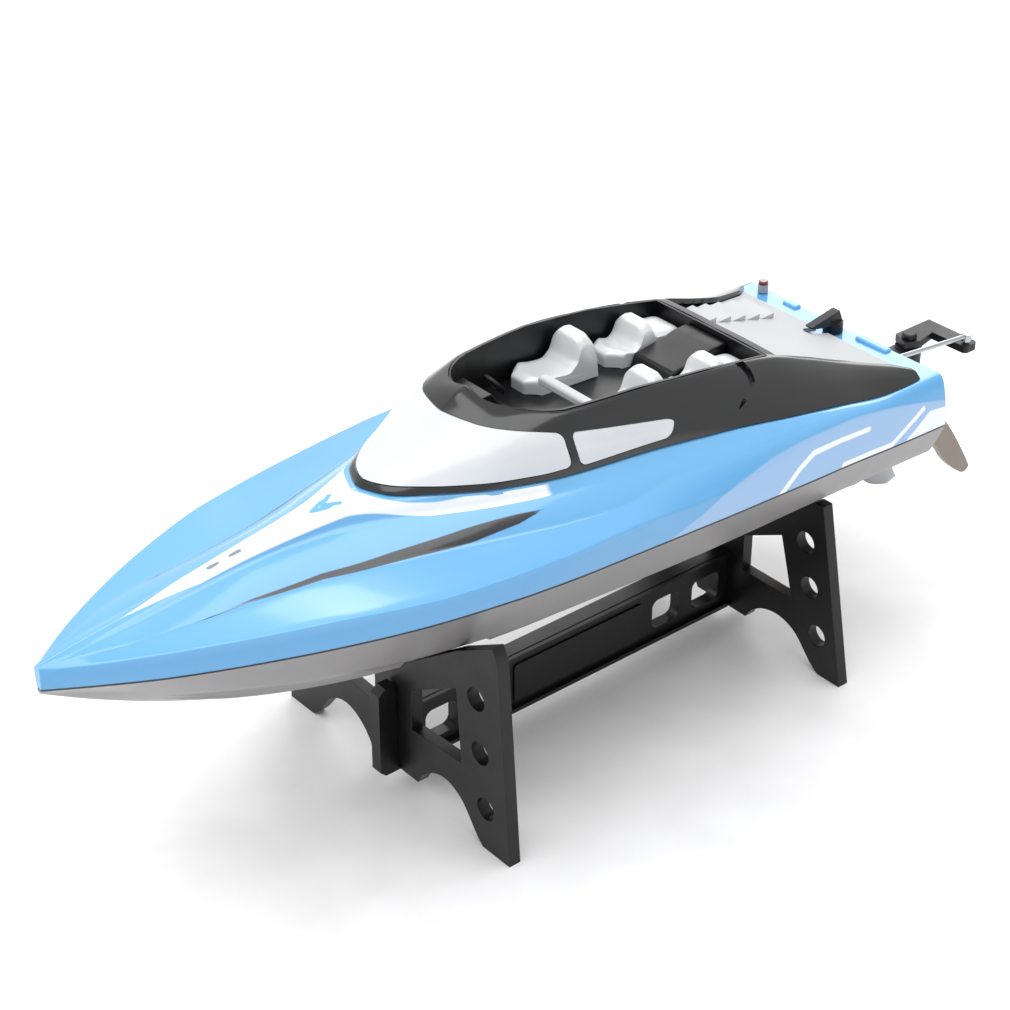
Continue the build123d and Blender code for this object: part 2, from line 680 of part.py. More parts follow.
with BuildPart() as motor_shaft:
    add(shaft_rod(136.0, 24, 1.15))
finish(motor_shaft, "motor_shaft")

screw_spots = [(-motor_screw_reach, 0), (motor_screw_reach, 0)]
with BuildPart() as motor_can:
    add(shaft_rod(motor_front, motor_length, motor_radius))
    add(shaft_rod(motor_front - 2, 2, 3.0))
    add(shaft_rod(motor_front - 2, 16, 1.15 + running), mode=Mode.SUBTRACT)
    with BuildSketch(shaft_axis.offset(motor_front)):
        with Locations(*screw_spots):
            Circle(1.2)
    extrude(amount=4, mode=Mode.SUBTRACT)
finish(motor_can, "motor_can")

with BuildPart() as motor_end_bell:
    add(shaft_rod(motor_front + motor_length, 5, 11.4))
    with BuildSketch(shaft_axis.offset(motor_front + motor_length + 5)):
        with Locations((-7, 0), (7, 0)):
            Rectangle(2.4, 0.6)
    extrude(amount=3)
finish(motor_end_bell, "motor_end_bell")

with BuildPart() as water_jacket:
    add(shaft_rod(motor_front + 7, 17, 13.5, motor_radius + 0.02))
    for distance in (motor_front + 11, motor_front + 20):
        nipple = shaft_axis.offset(distance)
        with BuildSketch(Plane(origin=nipple.origin, z_dir=nipple.y_dir * -1).offset(12.6)):
            Circle(1.5)
            Circle(0.8, mode=Mode.SUBTRACT)
        extrude(amount=5)
finish(water_jacket, "water_jacket")

with BuildPart() as motor_mount:
    with BuildSketch(shaft_axis.offset(motor_front - 3)):
        with Locations((0, 3)):
            Rectangle(44, 38)
        Circle(3.1, mode=Mode.SUBTRACT)
        with Locations(*screw_spots):
            Circle(1.2, mode=Mode.SUBTRACT)
    extrude(amount=3)
    add(fitted_shape, mode=Mode.INTERSECT)
    with BuildSketch(Plane.XY.offset(73)):
        Rectangle(400, 100)
    extrude(amount=40, mode=Mode.SUBTRACT)
finish(motor_mount, "motor_mount")

with BuildPart() as motor_screws:
    with BuildSketch(shaft_axis.offset(motor_front - 3)):
        with Locations(*screw_spots):
            Circle(1.2)
    extrude(amount=6.6)
    with BuildSketch(shaft_axis.offset(motor_front - 4.6)):
        with Locations(*screw_spots):
            Circle(2.2)
    extrude(amount=1.6)
finish(motor_screws, "motor_screws")

# Battery and electronics -----------------------------------------------------------------------


def legged_shelf(x_range, half_width, low, high, legs):
    """Flat shelf whose cross ribs stand on the hull bottom, with a way through for the tube."""
    with BuildPart() as shelf:
        with BuildSketch(Plane.XY.offset(low)):
            with Locations((sum(x_range) / 2, 0)):
                RectangleRounded(x_range[1] - x_range[0], 2 * half_width, 2)
        extrude(amount=high - low)
        for leg_x in legs:
            with BuildSketch(Plane.YZ.offset(leg_x)):
                with Locations((0, low - 15)):
                    Rectangle(2 * half_width, 30)
            extrude(amount=1.8)
        add(fitted_shape, mode=Mode.INTERSECT)
        add(shaft_rod(0, 200, 3.4), mode=Mode.SUBTRACT)
    return shelf


battery_tray = legged_shelf((60, 108), 18.6, 66.4, 67.8, (64, 98))
finish(battery_tray, "battery_tray")

with BuildPart() as battery_pack:
    with BuildSketch(Plane.XY.offset(67.9)):
        with Locations((84, 0)):
            RectangleRounded(44, 33, 3)
    extrude(amount=16)
finish(battery_pack, "battery_pack")

with BuildPart() as battery_strap:
    with BuildSketch(Plane.YZ.offset(80)):
        with Locations((0, 67.9 + 8.4)):
            Rectangle(35.0, 16.8)
        with Locations((0, 67.9 + 8.05)):
            Rectangle(33.4, 16.1, mode=Mode.SUBTRACT)
    extrude(amount=9)
finish(battery_strap, "battery_strap")

electronics_shelf = legged_shelf((-50, -6), 20.0, 58.4, 60.0, (-46, -12))
finish(electronics_shelf, "electronics_shelf")

with BuildPart() as control_box:
    with BuildSketch(Plane.XY.offset(60.1)):
        with Locations((-28, 0)):
            RectangleRounded(38, 30, 2.5)
    extrude(amount=11)
    fillet(control_box.edges().group_by(Axis.Z)[-1], 1.0)
finish(control_box, "control_box")

servo_x, servo_y = servo_pivot
servo_body_x = servo_x - 5.7
arm_low = tiller_z + 1.0
with BuildPart() as servo_shelf:
    with BuildSketch(Plane.XY.offset(62.0)):
        with Locations((servo_body_x, servo_y - 1)):
            Rectangle(36, 17)
        with Locations((servo_body_x, servo_y)):
            Rectangle(23.2, 12.4, mode=Mode.SUBTRACT)
    extrude(amount=2)
    for leg_x in (servo_body_x - 16, servo_body_x + 14.6):
        with BuildSketch(Plane.YZ.offset(leg_x)):
            with Locations((servo_y - 1, 48)):
                Rectangle(13, 28)
        extrude(amount=1.6)
    add(fitted_shape, mode=Mode.INTERSECT)
finish(servo_shelf, "servo_shelf")

with BuildPart() as servo_body:
    with BuildSketch(Plane.XY.offset(54.0)):
        with Locations((servo_body_x, servo_y)):
            Rectangle(22.8, 12.0)
    extrude(amount=16.6)
    with BuildSketch(Plane.XY.offset(64.1)):
        with Locations((servo_body_x, servo_y)):
            Rectangle(32.0, 12.0)
    extrude(amount=1.6)
    with BuildSketch(Plane.XY.offset(70.6)):
        with Locations(servo_pivot):
            Circle(3.0)
    extrude(amount=arm_low - 0.1 - 70.6)
finish(servo_body, "servo_body")


def crank(pivot, low, thick, reach, bore):
    """Flat arm from a pivot to the point at its reach, with a hole at each end."""
    arm_length = hypot(*reach)
    with BuildPart() as arm:
        with BuildSketch(Plane.XY.offset(low)):
            with Locations(pivot):
                Circle(3.2)
            with Locations((pivot[0] + reach[0], pivot[1] + reach[1])):
                Circle(2.2)
            with Locations(
                Location((pivot[0] + reach[0] / 2, pivot[1] + reach[1] / 2, 0),
                         (0, 0, degrees(atan2(reach[1], reach[0]))))
            ):
                Rectangle(arm_length, 3.6)
            with Locations(pivot):
                Circle(bore, mode=Mode.SUBTRACT)
            with Locations((pivot[0] + reach[0], pivot[1] + reach[1])):
                Circle(0.8 + running, mode=Mode.SUBTRACT)
        extrude(amount=thick)
    return arm


servo_arm = crank(servo_pivot, arm_low, 1.6, tiller_reach, 1.0)
finish(servo_arm, "servo_arm")

with BuildPart() as servo_arm_screw:
    with BuildSketch(Plane.XY.offset(arm_low)):
        with Locations(servo_pivot):
            Circle(1.0)
    extrude(amount=1.6)
    with BuildSketch(Plane.XY.offset(arm_low + 1.6)):
        with Locations(servo_pivot):
            Circle(1.9)
    extrude(amount=1.2)
finish(servo_arm_screw, "servo_arm_screw")

rod_length = hypot(*linkage_run)
rod_axis = Plane(
    origin=(rod_start[0], rod_start[1], rod_z),
    x_dir=(0, 0, 1),
    z_dir=(linkage_run[0], linkage_run[1], 0),
)
with BuildPart() as pushrod:
    with BuildSketch(rod_axis.offset(-0.8)):
        Circle(0.8)
    extrude(amount=rod_length + 1.6)
    with BuildSketch(Plane.XY.offset(rod_z)):
        with Locations(rod_start, rod_end):
            Circle(0.8)
    extrude(amount=-(rod_z - tiller_z - 0.8))
    with BuildSketch(Plane.XY.offset(rod_z - 1.6)):
        with Locations(rod_start, rod_end):
            Circle(1.6)
    extrude(amount=2.6)
finish(pushrod, "pushrod")

with BuildPart() as rod_guide:
    with BuildSketch(Plane.YZ.offset(transom_x - 1.6)):
        with Locations((guide_y, rod_z)):
            RectangleRounded(23.0, 8.6, 3.4)
            RectangleRounded(16.8, 4.2, 1.4, mode=Mode.SUBTRACT)
    extrude(amount=1.58)
    with BuildSketch(Plane.YZ.offset(transom_x - 6.0)):
        with Locations((guide_y, rod_z)):
            RectangleRounded(19.4, 6.6, 2.4)
            RectangleRounded(16.8, 4.2, 1.4, mode=Mode.SUBTRACT)
    extrude(amount=4.4)
finish(rod_guide, "rod_guide")

# Rudder ----------------------------------------------------------------------------------------
barrel_low = 60.0
stem_radius = 1.5
with BuildPart() as rudder_bracket:
    with BuildSketch(Plane.YZ.offset(transom_x - 2.02)):
        with Locations((0, 64)):
            RectangleRounded(17.0, 13.2, 2)
        with Locations(*bracket_screws_at):
            Circle(1.0, mode=Mode.SUBTRACT)
    extrude(amount=2.0)
    with BuildSketch(Plane.XZ.offset(-3.6)):
        Polygon(
            (transom_x - 1.5, 70.4), (rudder_x, tiller_z - 0.6), (rudder_x, 64.0),
            (transom_x - 14, 63.0), (transom_x - 1.5, 58.4), align=None,
        )
    extrude(amount=7.2)
    with BuildSketch(Plane.XY.offset(barrel_low)):
        with Locations((rudder_x, 0)):
            Circle(4.4)
    extrude(amount=tiller_z - 0.2 - barrel_low)
    with BuildSketch(Plane.XY.offset(barrel_low - 5)):
        with Locations((rudder_x, 0)):
            Circle(stem_radius + running)
    extrude(amount=30, mode=Mode.SUBTRACT)
finish(rudder_bracket, "rudder_bracket")

with BuildPart() as bracket_screws:
    with BuildSketch(Plane.YZ.offset(transom_x - 2.02)):
        with Locations(*bracket_screws_at):
            Circle(1.0)
    extrude(amount=6)
    with BuildSketch(Plane.YZ.offset(transom_x - 3.4)):
        with Locations(*bracket_screws_at):
            Circle(1.9)
    extrude(amount=1.38)
finish(bracket_screws, "bracket_screws")

with BuildPart() as rudder_stem:
    with BuildSketch(Plane.XY.offset(40.0)):
        with Locations((rudder_x, 0)):
            Circle(stem_radius)
    extrude(amount=tiller_z + 2.6 - 40.0)
finish(rudder_stem, "rudder_stem")

with BuildPart() as rudder_blade:
    with BuildSketch(Plane.XZ.offset(-1.2)):
        with BuildLine():
            Polyline((rudder_x + 2.7, 41), (rudder_x + 2.7, barrel_low - 0.3),
                     (rudder_x - 4.4, barrel_low - 0.3))
            Spline((rudder_x - 4.4, barrel_low - 0.3), (-157.0, 45.2), (-167.6, 32.0),
                   (-175.6, 20.4), (-bow_x, 11.8))
            Spline((-bow_x, 11.8), (-179.0, 10.2), (-173.6, 12.8), (-167.4, 18.6),
                   (-160.4, 28.0), (-152.0, 36.0), (rudder_x + 2.7, 41))
        make_face()
    extrude(amount=2.4)
    with BuildSketch(Plane.XY.offset(40.4)):
        with Locations((rudder_x, 0)):
            Circle(2.7)
    extrude(amount=barrel_low - 0.3 - 40.4)
    with BuildSketch(Plane.XY.offset(36.0)):
        with Locations((rudder_x, 0)):
            Circle(stem_radius)
    extrude(amount=30, mode=Mode.SUBTRACT)
finish(rudder_blade, "rudder_blade")

elbow = (rudder_x + tiller_reach[0], -3.6)
with BuildPart() as tiller_arm:
    with BuildSketch(Plane.XY.offset(tiller_z)):
        with BuildLine():
            Polyline(
                (rudder_x + 4.0, 1.8), (rudder_x + 1.4, -4.6), (elbow[0] - 3.4, elbow[1] - 1.0),
                (elbow[0] - 3.4, rod_start[1] + 2.2), (elbow[0] + 2.6, rod_start[1] + 2.2),
                (elbow[0] + 3.0, 2.4), (rudder_x - 1.0, 4.0), (rudder_x + 4.0, 1.8),
            )
        make_face()
        with Locations((rudder_x, 0)):
            Circle(stem_radius, mode=Mode.SUBTRACT)
        with Locations(rod_start):
            Circle(0.8 + running, mode=Mode.SUBTRACT)
    extrude(amount=2.6)
    fillet(tiller_arm.edges().filter_by(Axis.Z).sort_by(Axis.Y)[-2:], 1.6)
finish(tiller_arm, "tiller_arm")

with BuildPart() as tiller_bolt:
    with BuildSketch(Plane.XY.offset(tiller_z + 2.6)):
        with Locations((rudder_x, 0)):
            Circle(2.5)
    extrude(amount=1.8)
    fillet(tiller_bolt.edges().filter_by(GeomType.CIRCLE).sort_by(Axis.Z)[-1], 0.8)
finish(tiller_bolt, "tiller_bolt")

# Transom plugs and the sensing pins in the bottom ------------------------------------------------
with BuildPart() as drain_plug:
    with BuildSketch(Plane.YZ.offset(transom_x - 0.02)):
        with Locations(drain_at):
            Circle(2.0)
    extrude(amount=4)
    with BuildSketch(Plane.YZ.offset(transom_x - 1.8)):
        with Locations(drain_at):
            RegularPolygon(3.4, 6)
    extrude(amount=1.78)
finish(drain_plug, "drain_plug")

with BuildPart() as water_outlet:
    with BuildSketch(Plane.YZ.offset(transom_x - 5.0)):
        with Locations(outlet_at):
            Circle(2.0)
            Circle(1.1, mode=Mode.SUBTRACT)
    extrude(amount=12)
    with BuildSketch(Plane.YZ.offset(transom_x - 1.5)):
        with Locations(outlet_at):
            Circle(3.2)
            Circle(2.0, mode=Mode.SUBTRACT)
    extrude(amount=1.48)
finish(water_outlet, "water_outlet")

with BuildPart() as water_contacts:
    with BuildSketch(Plane.XY.offset(44.0)):
        with Locations(*contacts_at):
            Circle(1.25)
    extrude(amount=7.4)
finish(water_contacts, "water_contacts")
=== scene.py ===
"""Electric speedboat on its display stand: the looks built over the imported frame."""

import json
import math

import bmesh
import bpy
import numpy as np
from mathutils import Matrix, Vector


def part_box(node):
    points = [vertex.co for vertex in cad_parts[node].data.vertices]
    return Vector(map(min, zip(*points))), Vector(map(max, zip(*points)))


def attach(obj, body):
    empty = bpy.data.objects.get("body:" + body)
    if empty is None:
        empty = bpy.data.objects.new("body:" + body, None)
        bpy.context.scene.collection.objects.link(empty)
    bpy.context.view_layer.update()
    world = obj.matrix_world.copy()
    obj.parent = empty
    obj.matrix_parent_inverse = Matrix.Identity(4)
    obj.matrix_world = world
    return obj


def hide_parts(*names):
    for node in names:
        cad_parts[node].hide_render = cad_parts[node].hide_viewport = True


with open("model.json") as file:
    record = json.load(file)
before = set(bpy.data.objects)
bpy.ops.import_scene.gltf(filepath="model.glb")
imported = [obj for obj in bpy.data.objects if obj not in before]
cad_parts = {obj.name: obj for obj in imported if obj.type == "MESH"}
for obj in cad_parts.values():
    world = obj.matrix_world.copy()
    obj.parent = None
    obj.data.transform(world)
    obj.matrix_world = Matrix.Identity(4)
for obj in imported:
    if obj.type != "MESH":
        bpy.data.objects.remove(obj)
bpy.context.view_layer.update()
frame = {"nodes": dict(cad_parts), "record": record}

MM = 0.001
DEEP = 1.8

# Stations: X, then half-breadth and height of chine, joint, edge, ledge, crease and top, then crown.
OFFSETS = np.array([
    (180.8, 0.5, 82.3, 1.0, 83.0, 1.3, 89.2, 1.1, 89.7, 0.8, 90.0, 0.5, 90.15, 90.2),
    (168.0, 3.2, 78.6, 8.6, 82.9, 9.8, 90.3, 6.2, 91.0, 3.0, 91.6, 1.6, 92.0, 92.2),
    (154.0, 7.4, 73.8, 16.2, 82.8, 17.4, 91.2, 11.0, 91.9, 3.2, 93.0, 2.0, 93.8, 94.1),
    (137.0, 12.8, 69.8, 23.8, 82.7, 25.2, 91.9, 13.2, 92.3, 3.6, 95.2, 2.4, 96.3, 96.7),
    (115.0, 19.4, 66.2, 32.0, 82.5, 33.4, 92.2, 15.8, 92.4, 4.4, 98.0, 3.6, 99.4, 99.9),
    (96.0, 24.2, 64.0, 37.8, 82.3, 39.0, 91.2, 19.6, 92.4, 6.8, 99.0, 5.6, 101.4, 102.0),
    (83.0, 26.8, 62.9, 40.8, 82.1, 42.0, 90.6, 23.6, 92.4, 11.2, 99.4, 9.0, 103.0, 103.6),
    (70.0, 29.0, 62.1, 42.8, 81.7, 44.0, 90.4, 27.2, 92.4, 17.0, 99.3, 14.9, 103.4, 103.55),
    (55.0, 31.4, 61.7, 44.2, 80.9, 45.8, 90.4, 31.8, 92.4, 23.6, 99.2, 22.0, 102.5, 102.65),
    (38.0, 33.4, 61.6, 44.7, 79.8, 47.0, 90.5, 36.7, 92.4, 28.8, 98.9, 27.3, 101.4, 101.55),
    (19.0, 34.8, 61.6, 44.9, 78.9, 46.9, 90.0, 39.6, 92.2, 32.3, 98.4, 29.9, 100.3, 100.45),
    (0.0, 36.2, 61.6, 45.1, 78.0, 45.4, 87.2, 38.4, 93.0, 33.4, 97.4, 31.0, 99.2, 99.35),
    (-18.0, 37.2, 61.6, 45.2, 77.1, 44.6, 86.0, 40.4, 91.8, 36.0, 96.2, 33.6, 98.0, 98.15),
    (-33.0, 37.6, 61.6, 45.2, 76.5, 44.0, 87.4, 41.4, 92.2, 38.6, 95.4, 36.6, 96.9, 97.05),
    (-50.0, 37.9, 61.6, 45.2, 75.8, 43.4, 89.4, 41.8, 92.2, 40.0, 94.1, 38.4, 95.0, 95.15),
    (-66.0, 38.3, 61.6, 45.1, 75.2, 43.5, 89.4, 42.4, 91.2, 41.0, 92.2, 39.2, 92.7, 92.85),
    (-88.0, 38.9, 61.6, 44.8, 73.8, 43.7, 86.0, 42.8, 88.0, 41.6, 89.2, 40.2, 89.6, 89.3),
    (-109.0, 39.7, 61.6, 44.6, 72.9, 43.7, 81.8, 42.6, 86.4, 41.4, 89.0, 39.4, 89.6, 88.9),
])
# Canopy stations: X, foot, half-breadth and height of shoulder and rim, then crown.
CANOPY = np.array([
    (81.0, 1.4, 1.0, 104.4, 0.6, 104.6, 104.7), (77.5, 8.6, 6.0, 105.3, 3.2, 106.2, 106.5),
    (70.0, 14.6, 11.0, 107.4, 5.8, 109.4, 109.9), (60.0, 20.0, 16.4, 109.2, 9.2, 113.2, 114.2),
    (52.0, 23.4, 20.4, 110.6, 12.0, 115.6, 117.4), (44.5, 25.6, 22.4, 112.4, 15.2, 117.2, 121.2),
    (36.0, 27.8, 24.6, 112.6, 18.4, 117.8, 121.4), (27.0, 29.1, 26.2, 111.2, 22.8, 117.2, 117.6),
    (2.5, 31.0, 29.0, 108.0, 25.5, 116.7, 117.0), (-22.0, 34.2, 31.0, 106.0, 25.9, 113.8, 114.0),
    (-50.5, 38.2, 33.2, 101.6, 24.6, 108.6, 108.8), (-66.0, 39.0, 34.4, 98.4, 25.6, 103.4, 103.6),
    (-80.0, 39.4, 35.6, 94.9, 28.2, 98.4, 98.6), (-95.0, 39.9, 37.6, 92.0, 33.2, 94.0, 94.2),
    (-101.0, 39.6, 38.8, 90.8, 37.2, 92.0, 92.2),
])


def through(table, x):
    """Smooth curve through the rows of a table, without overshoot, read at x."""
    rows = table[np.argsort(table[:, 0])]
    xs, ys = rows[:, 0], rows[:, 1:]
    step = np.diff(xs)[:, None]
    rise = np.diff(ys, axis=0) / step
    slope = np.zeros_like(ys)
    same = rise[:-1] * rise[1:] > 0
    w1, w2 = 2 * step[1:] + step[:-1], step[1:] + 2 * step[:-1]
    safe = np.where(same, rise[:-1] * rise[1:], 1.0)
    mean = (w1 + w2) * safe / (w1 * rise[1:] + w2 * rise[:-1] + np.where(same, 0, 1e9))
    slope[1:-1] = np.where(same, mean, 0.0)
    slope[0], slope[-1] = rise[0], rise[-1]
    x = np.clip(np.atleast_1d(np.asarray(x, float)), xs[0], xs[-1])
    k = np.clip(np.searchsorted(xs, x, side="right") - 1, 0, len(xs) - 2)
    h = (xs[k + 1] - xs[k])[:, None]
    t = (x - xs[k])[:, None] / h
    return (
        (1 + 2 * t) * (1 - t) ** 2 * ys[k] + t * (1 - t) ** 2 * h * slope[k]
        + t * t * (3 - 2 * t) * ys[k + 1] + t * t * (t - 1) * h * slope[k + 1]
    )


keel_low, rocker_x, bow_x = 38.5, 30.0, 180.8
stem_rise, stem_power = 43.4, 2.15


def keel_height(x):
    """Height of the keel in mm: level aft of the rocker, then curving up to the stem."""
    run = max(0.0, (x - rocker_x) / (bow_x - rocker_x))
    return keel_low + stem_rise * run**stem_power


def rounded(points, radii, bulges, pieces):
    """Open outline with eased corners and slightly crowned sides, always the same number of points."""
    p = [np.array(q, float) for q in points]
    out = []
    starts, ends, arcs = [p[0]], [], []
    for a, b, c, r in zip(p, p[1:], p[2:], radii):
        la, lc = np.linalg.norm(b - a), np.linalg.norm(c - b)
        reach = min(r, 0.42 * la, 0.42 * lc)
        s, e = b + (a - b) / la * reach, b + (c - b) / lc * reach
        ends.append(s)
        starts.append(e)
        arcs.append([(1 - t) ** 2 * s + 2 * t * (1 - t) * b + t * t * e for t in (0.25, 0.5, 0.75)])
    ends.append(p[-1])
    for i, (s, e) in enumerate(zip(starts, ends)):
        d = e - s
        length = np.linalg.norm(d)
        n = np.array([-d[1], d[0]]) / max(length, 1e-6)
        for t in np.linspace(0, 1, pieces[i] + 1):
            out.append(s + d * t - n * bulges[i] * length * 4 * t * (1 - t))
        if i < len(arcs):
            out.extend(arcs[i])
    return np.array(out)


def both_halves(half):
    """Port half from the bottom up to the centre, then the starboard half back down."""
    other = half[::-1] * np.array([-1, 1])
    return np.vstack([half, other[1:]])


def deck_profile(x, inset, floor):
    c = through(OFFSETS, x)[0]
    joint, edge, ledge, crease, top, crown = c[2:4], c[4:6], c[6:8], c[8:10], c[10:12], c[12]
    half = [
        (joint[0] - inset, joint[1] + floor), (edge[0] - inset, edge[1] - 0.7 * inset),
        (ledge[0] - 0.4 * inset, ledge[1] - inset), (crease[0] - 0.6 * inset, crease[1] - inset),
        (top[0] - 0.5 * inset, top[1] - inset), (0.0, crown - inset),
    ]
    return both_halves(rounded(
        half, (0.9, 0.8, 0.9, 1.6), (0.02, 0.0, 0.045, 0.02, 0.0), (12, 6, 14, 5, 12)))


def hull_profile(x, inset):
    c = through(OFFSETS, x)[0]
    half = [
        (0.0, keel_height(x) + 1.2 * inset), (c[0] - inset, c[1] + 0.6 * inset),
        (c[2] - inset, c[3]),
    ]
    line = rounded(half, (1.5,), (0.012, 0.01), (22, 8))
    if inset == 0:
        ease = np.clip((150 - x) / 20, 0, 1) * (0 if 55 < x < 82 or -76 < x < -50 else 1)
        for place in (9, 16):
            line[place] += np.array([0.25, -0.9]) * ease
            line[place + 1] += np.array([0.1, 0.1]) * ease
    return both_halves(line)


def deck_top(x):
    c = through(OFFSETS, x)[0]
    return max(c[11], c[12])


def canopy_profile(x, inset, drop):
    foot, sy, sz, ry, rz, crown = through(CANOPY, x)[0]
    low = deck_top(x) + 0.3 - drop
    half = [
        (foot - inset, low), (sy - inset, sz - 0.4 * inset), (ry - 0.6 * inset, rz - inset),
        (0.0, crown - inset),
    ]
    return both_halves(rounded(half, (3.2, 2.6), (0.04, 0.02, 0.01), (9, 9, 14)))


def new_object(name, mesh):
    obj = bpy.data.objects.new(name, mesh)
    bpy.context.scene.collection.objects.link(obj)
    return obj


def from_mesh_data(name, verts, faces, smooth=True):
    mesh = bpy.data.meshes.new(name)
    mesh.from_pydata([tuple(v) for v in verts], [], faces)
    mesh.update()
    if smooth:
        mesh.polygons.foreach_set("use_smooth", [True] * len(mesh.polygons))
    return new_object(name, mesh)


def through_stations(name, xs, profiles):
    """Closed solid skin through one closed profile at each station."""
    count = len(profiles[0])
    verts = [(x * MM, y * MM, z * MM) for x, prof in zip(xs, profiles) for y, z in prof]
    faces = []
    for i in range(len(xs) - 1):
        for j in range(count):
            k = (j + 1) % count
            a, b = i * count, (i + 1) * count
            faces.append((a + j, a + k, b + k, b + j))
    faces.append(tuple(range(count))[::-1])
    faces.append(tuple((len(xs) - 1) * count + j for j in range(count)))
    obj = from_mesh_data(name, verts, faces)
    outward(obj)
    return obj


def outward(obj):
    bm = bmesh.new()
    bm.from_mesh(obj.data)
    bmesh.ops.recalc_face_normals(bm, faces=bm.faces)
    bm.to_mesh(obj.data)
    bm.free()


def stations(low, high, step):
    return np.linspace(low, high, max(3, int((high - low) / step) + 1))


def prism(name, outline, low, high, axis="Z"):
    """Upright block over a plan outline, or a block across the boat over a side outline."""
    n = len(outline)
    if axis == "Z":
        verts = [(x * MM, y * MM, h * MM) for h in (low, high) for x, y in outline]
    else:
        verts = [(x * MM, h * MM, z * MM) for h in (low, high) for x, z in outline]
    faces = [tuple(range(n)), tuple(range(n, 2 * n))]
    faces += [(i, (i + 1) % n, n + (i + 1) % n, n + i) for i in range(n)]
    obj = from_mesh_data(name, verts, faces, smooth=False)
    outward(obj)
    return obj


def boolean(obj, cutter, operation="DIFFERENCE", keep_cutter=False):
    modifier = obj.modifiers.new("cut", "BOOLEAN")
    modifier.object = cutter
    modifier.operation = operation
    modifier.solver = "EXACT"
    apply_modifiers(obj)
    if not keep_cutter:
        bpy.data.objects.remove(cutter)


def apply_modifiers(obj):
    graph = bpy.context.evaluated_depsgraph_get()
    mesh = bpy.data.meshes.new_from_object(obj.evaluated_get(graph))
    obj.modifiers.clear()
    old = obj.data
    obj.data = mesh
    bpy.data.meshes.remove(old)


def duplicate(obj, name):
    copy = obj.copy()
    copy.data = obj.data.copy()
    copy.name = name
    copy.parent = None
    for key in list(copy.keys()):
        del copy[key]
    bpy.context.scene.collection.objects.link(copy)
    return copy


def soften(obj, width, segments=2, angle=38, shade=42):
    """Small rounded edges wherever two faces meet at a real corner."""
    if width > 0:
        bevel = obj.modifiers.new("edge", "BEVEL")
        bevel.width = width * MM
        bevel.segments = segments
        bevel.limit_method = "ANGLE"
        bevel.angle_limit = math.radians(angle)
        bevel.use_clamp_overlap = True
        bevel.harden_normals = False
        apply_modifiers(obj)
    shade_by_angle(obj, shade)
    weighted = obj.modifiers.new("normals", "WEIGHTED_NORMAL")
    weighted.keep_sharp = True
    weighted.weight = 100
    apply_modifiers(obj)


def shade_by_angle(obj, angle):
    bm = bmesh.new()
    bm.from_mesh(obj.data)
    for face in bm.faces:
        face.smooth = True
    for edge in bm.edges:
        if len(edge.link_faces) == 2:
            edge.smooth = edge.calc_face_angle(0) < math.radians(angle)
    bm.to_mesh(obj.data)
    bm.free()


def cleaned_copy(node, name):
    """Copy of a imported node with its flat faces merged, ready for edge work."""
    copy = duplicate(frame["nodes"][node], name)
    copy.data.materials.clear()
    bm = bmesh.new()
    bm.from_mesh(copy.data)
    bmesh.ops.remove_doubles(bm, verts=bm.verts, dist=2e-6)
    bmesh.ops.dissolve_limit(bm, angle_limit=math.radians(0.6), verts=bm.verts, edges=bm.edges)
    bmesh.ops.recalc_face_normals(bm, faces=bm.faces)
    bm.to_mesh(copy.data)
    bm.free()
    return copy


# Materials -------------------------------------------------------------------------------------
def srgb(text):
    """Linear colour of a hex tone."""
    channels = [int(text[i:i + 2], 16) / 255 for i in (0, 2, 4)]
    return tuple(c / 12.92 if c <= 0.04045 else ((c + 0.055) / 1.055) ** 2.4 for c in channels) + (1.0,)


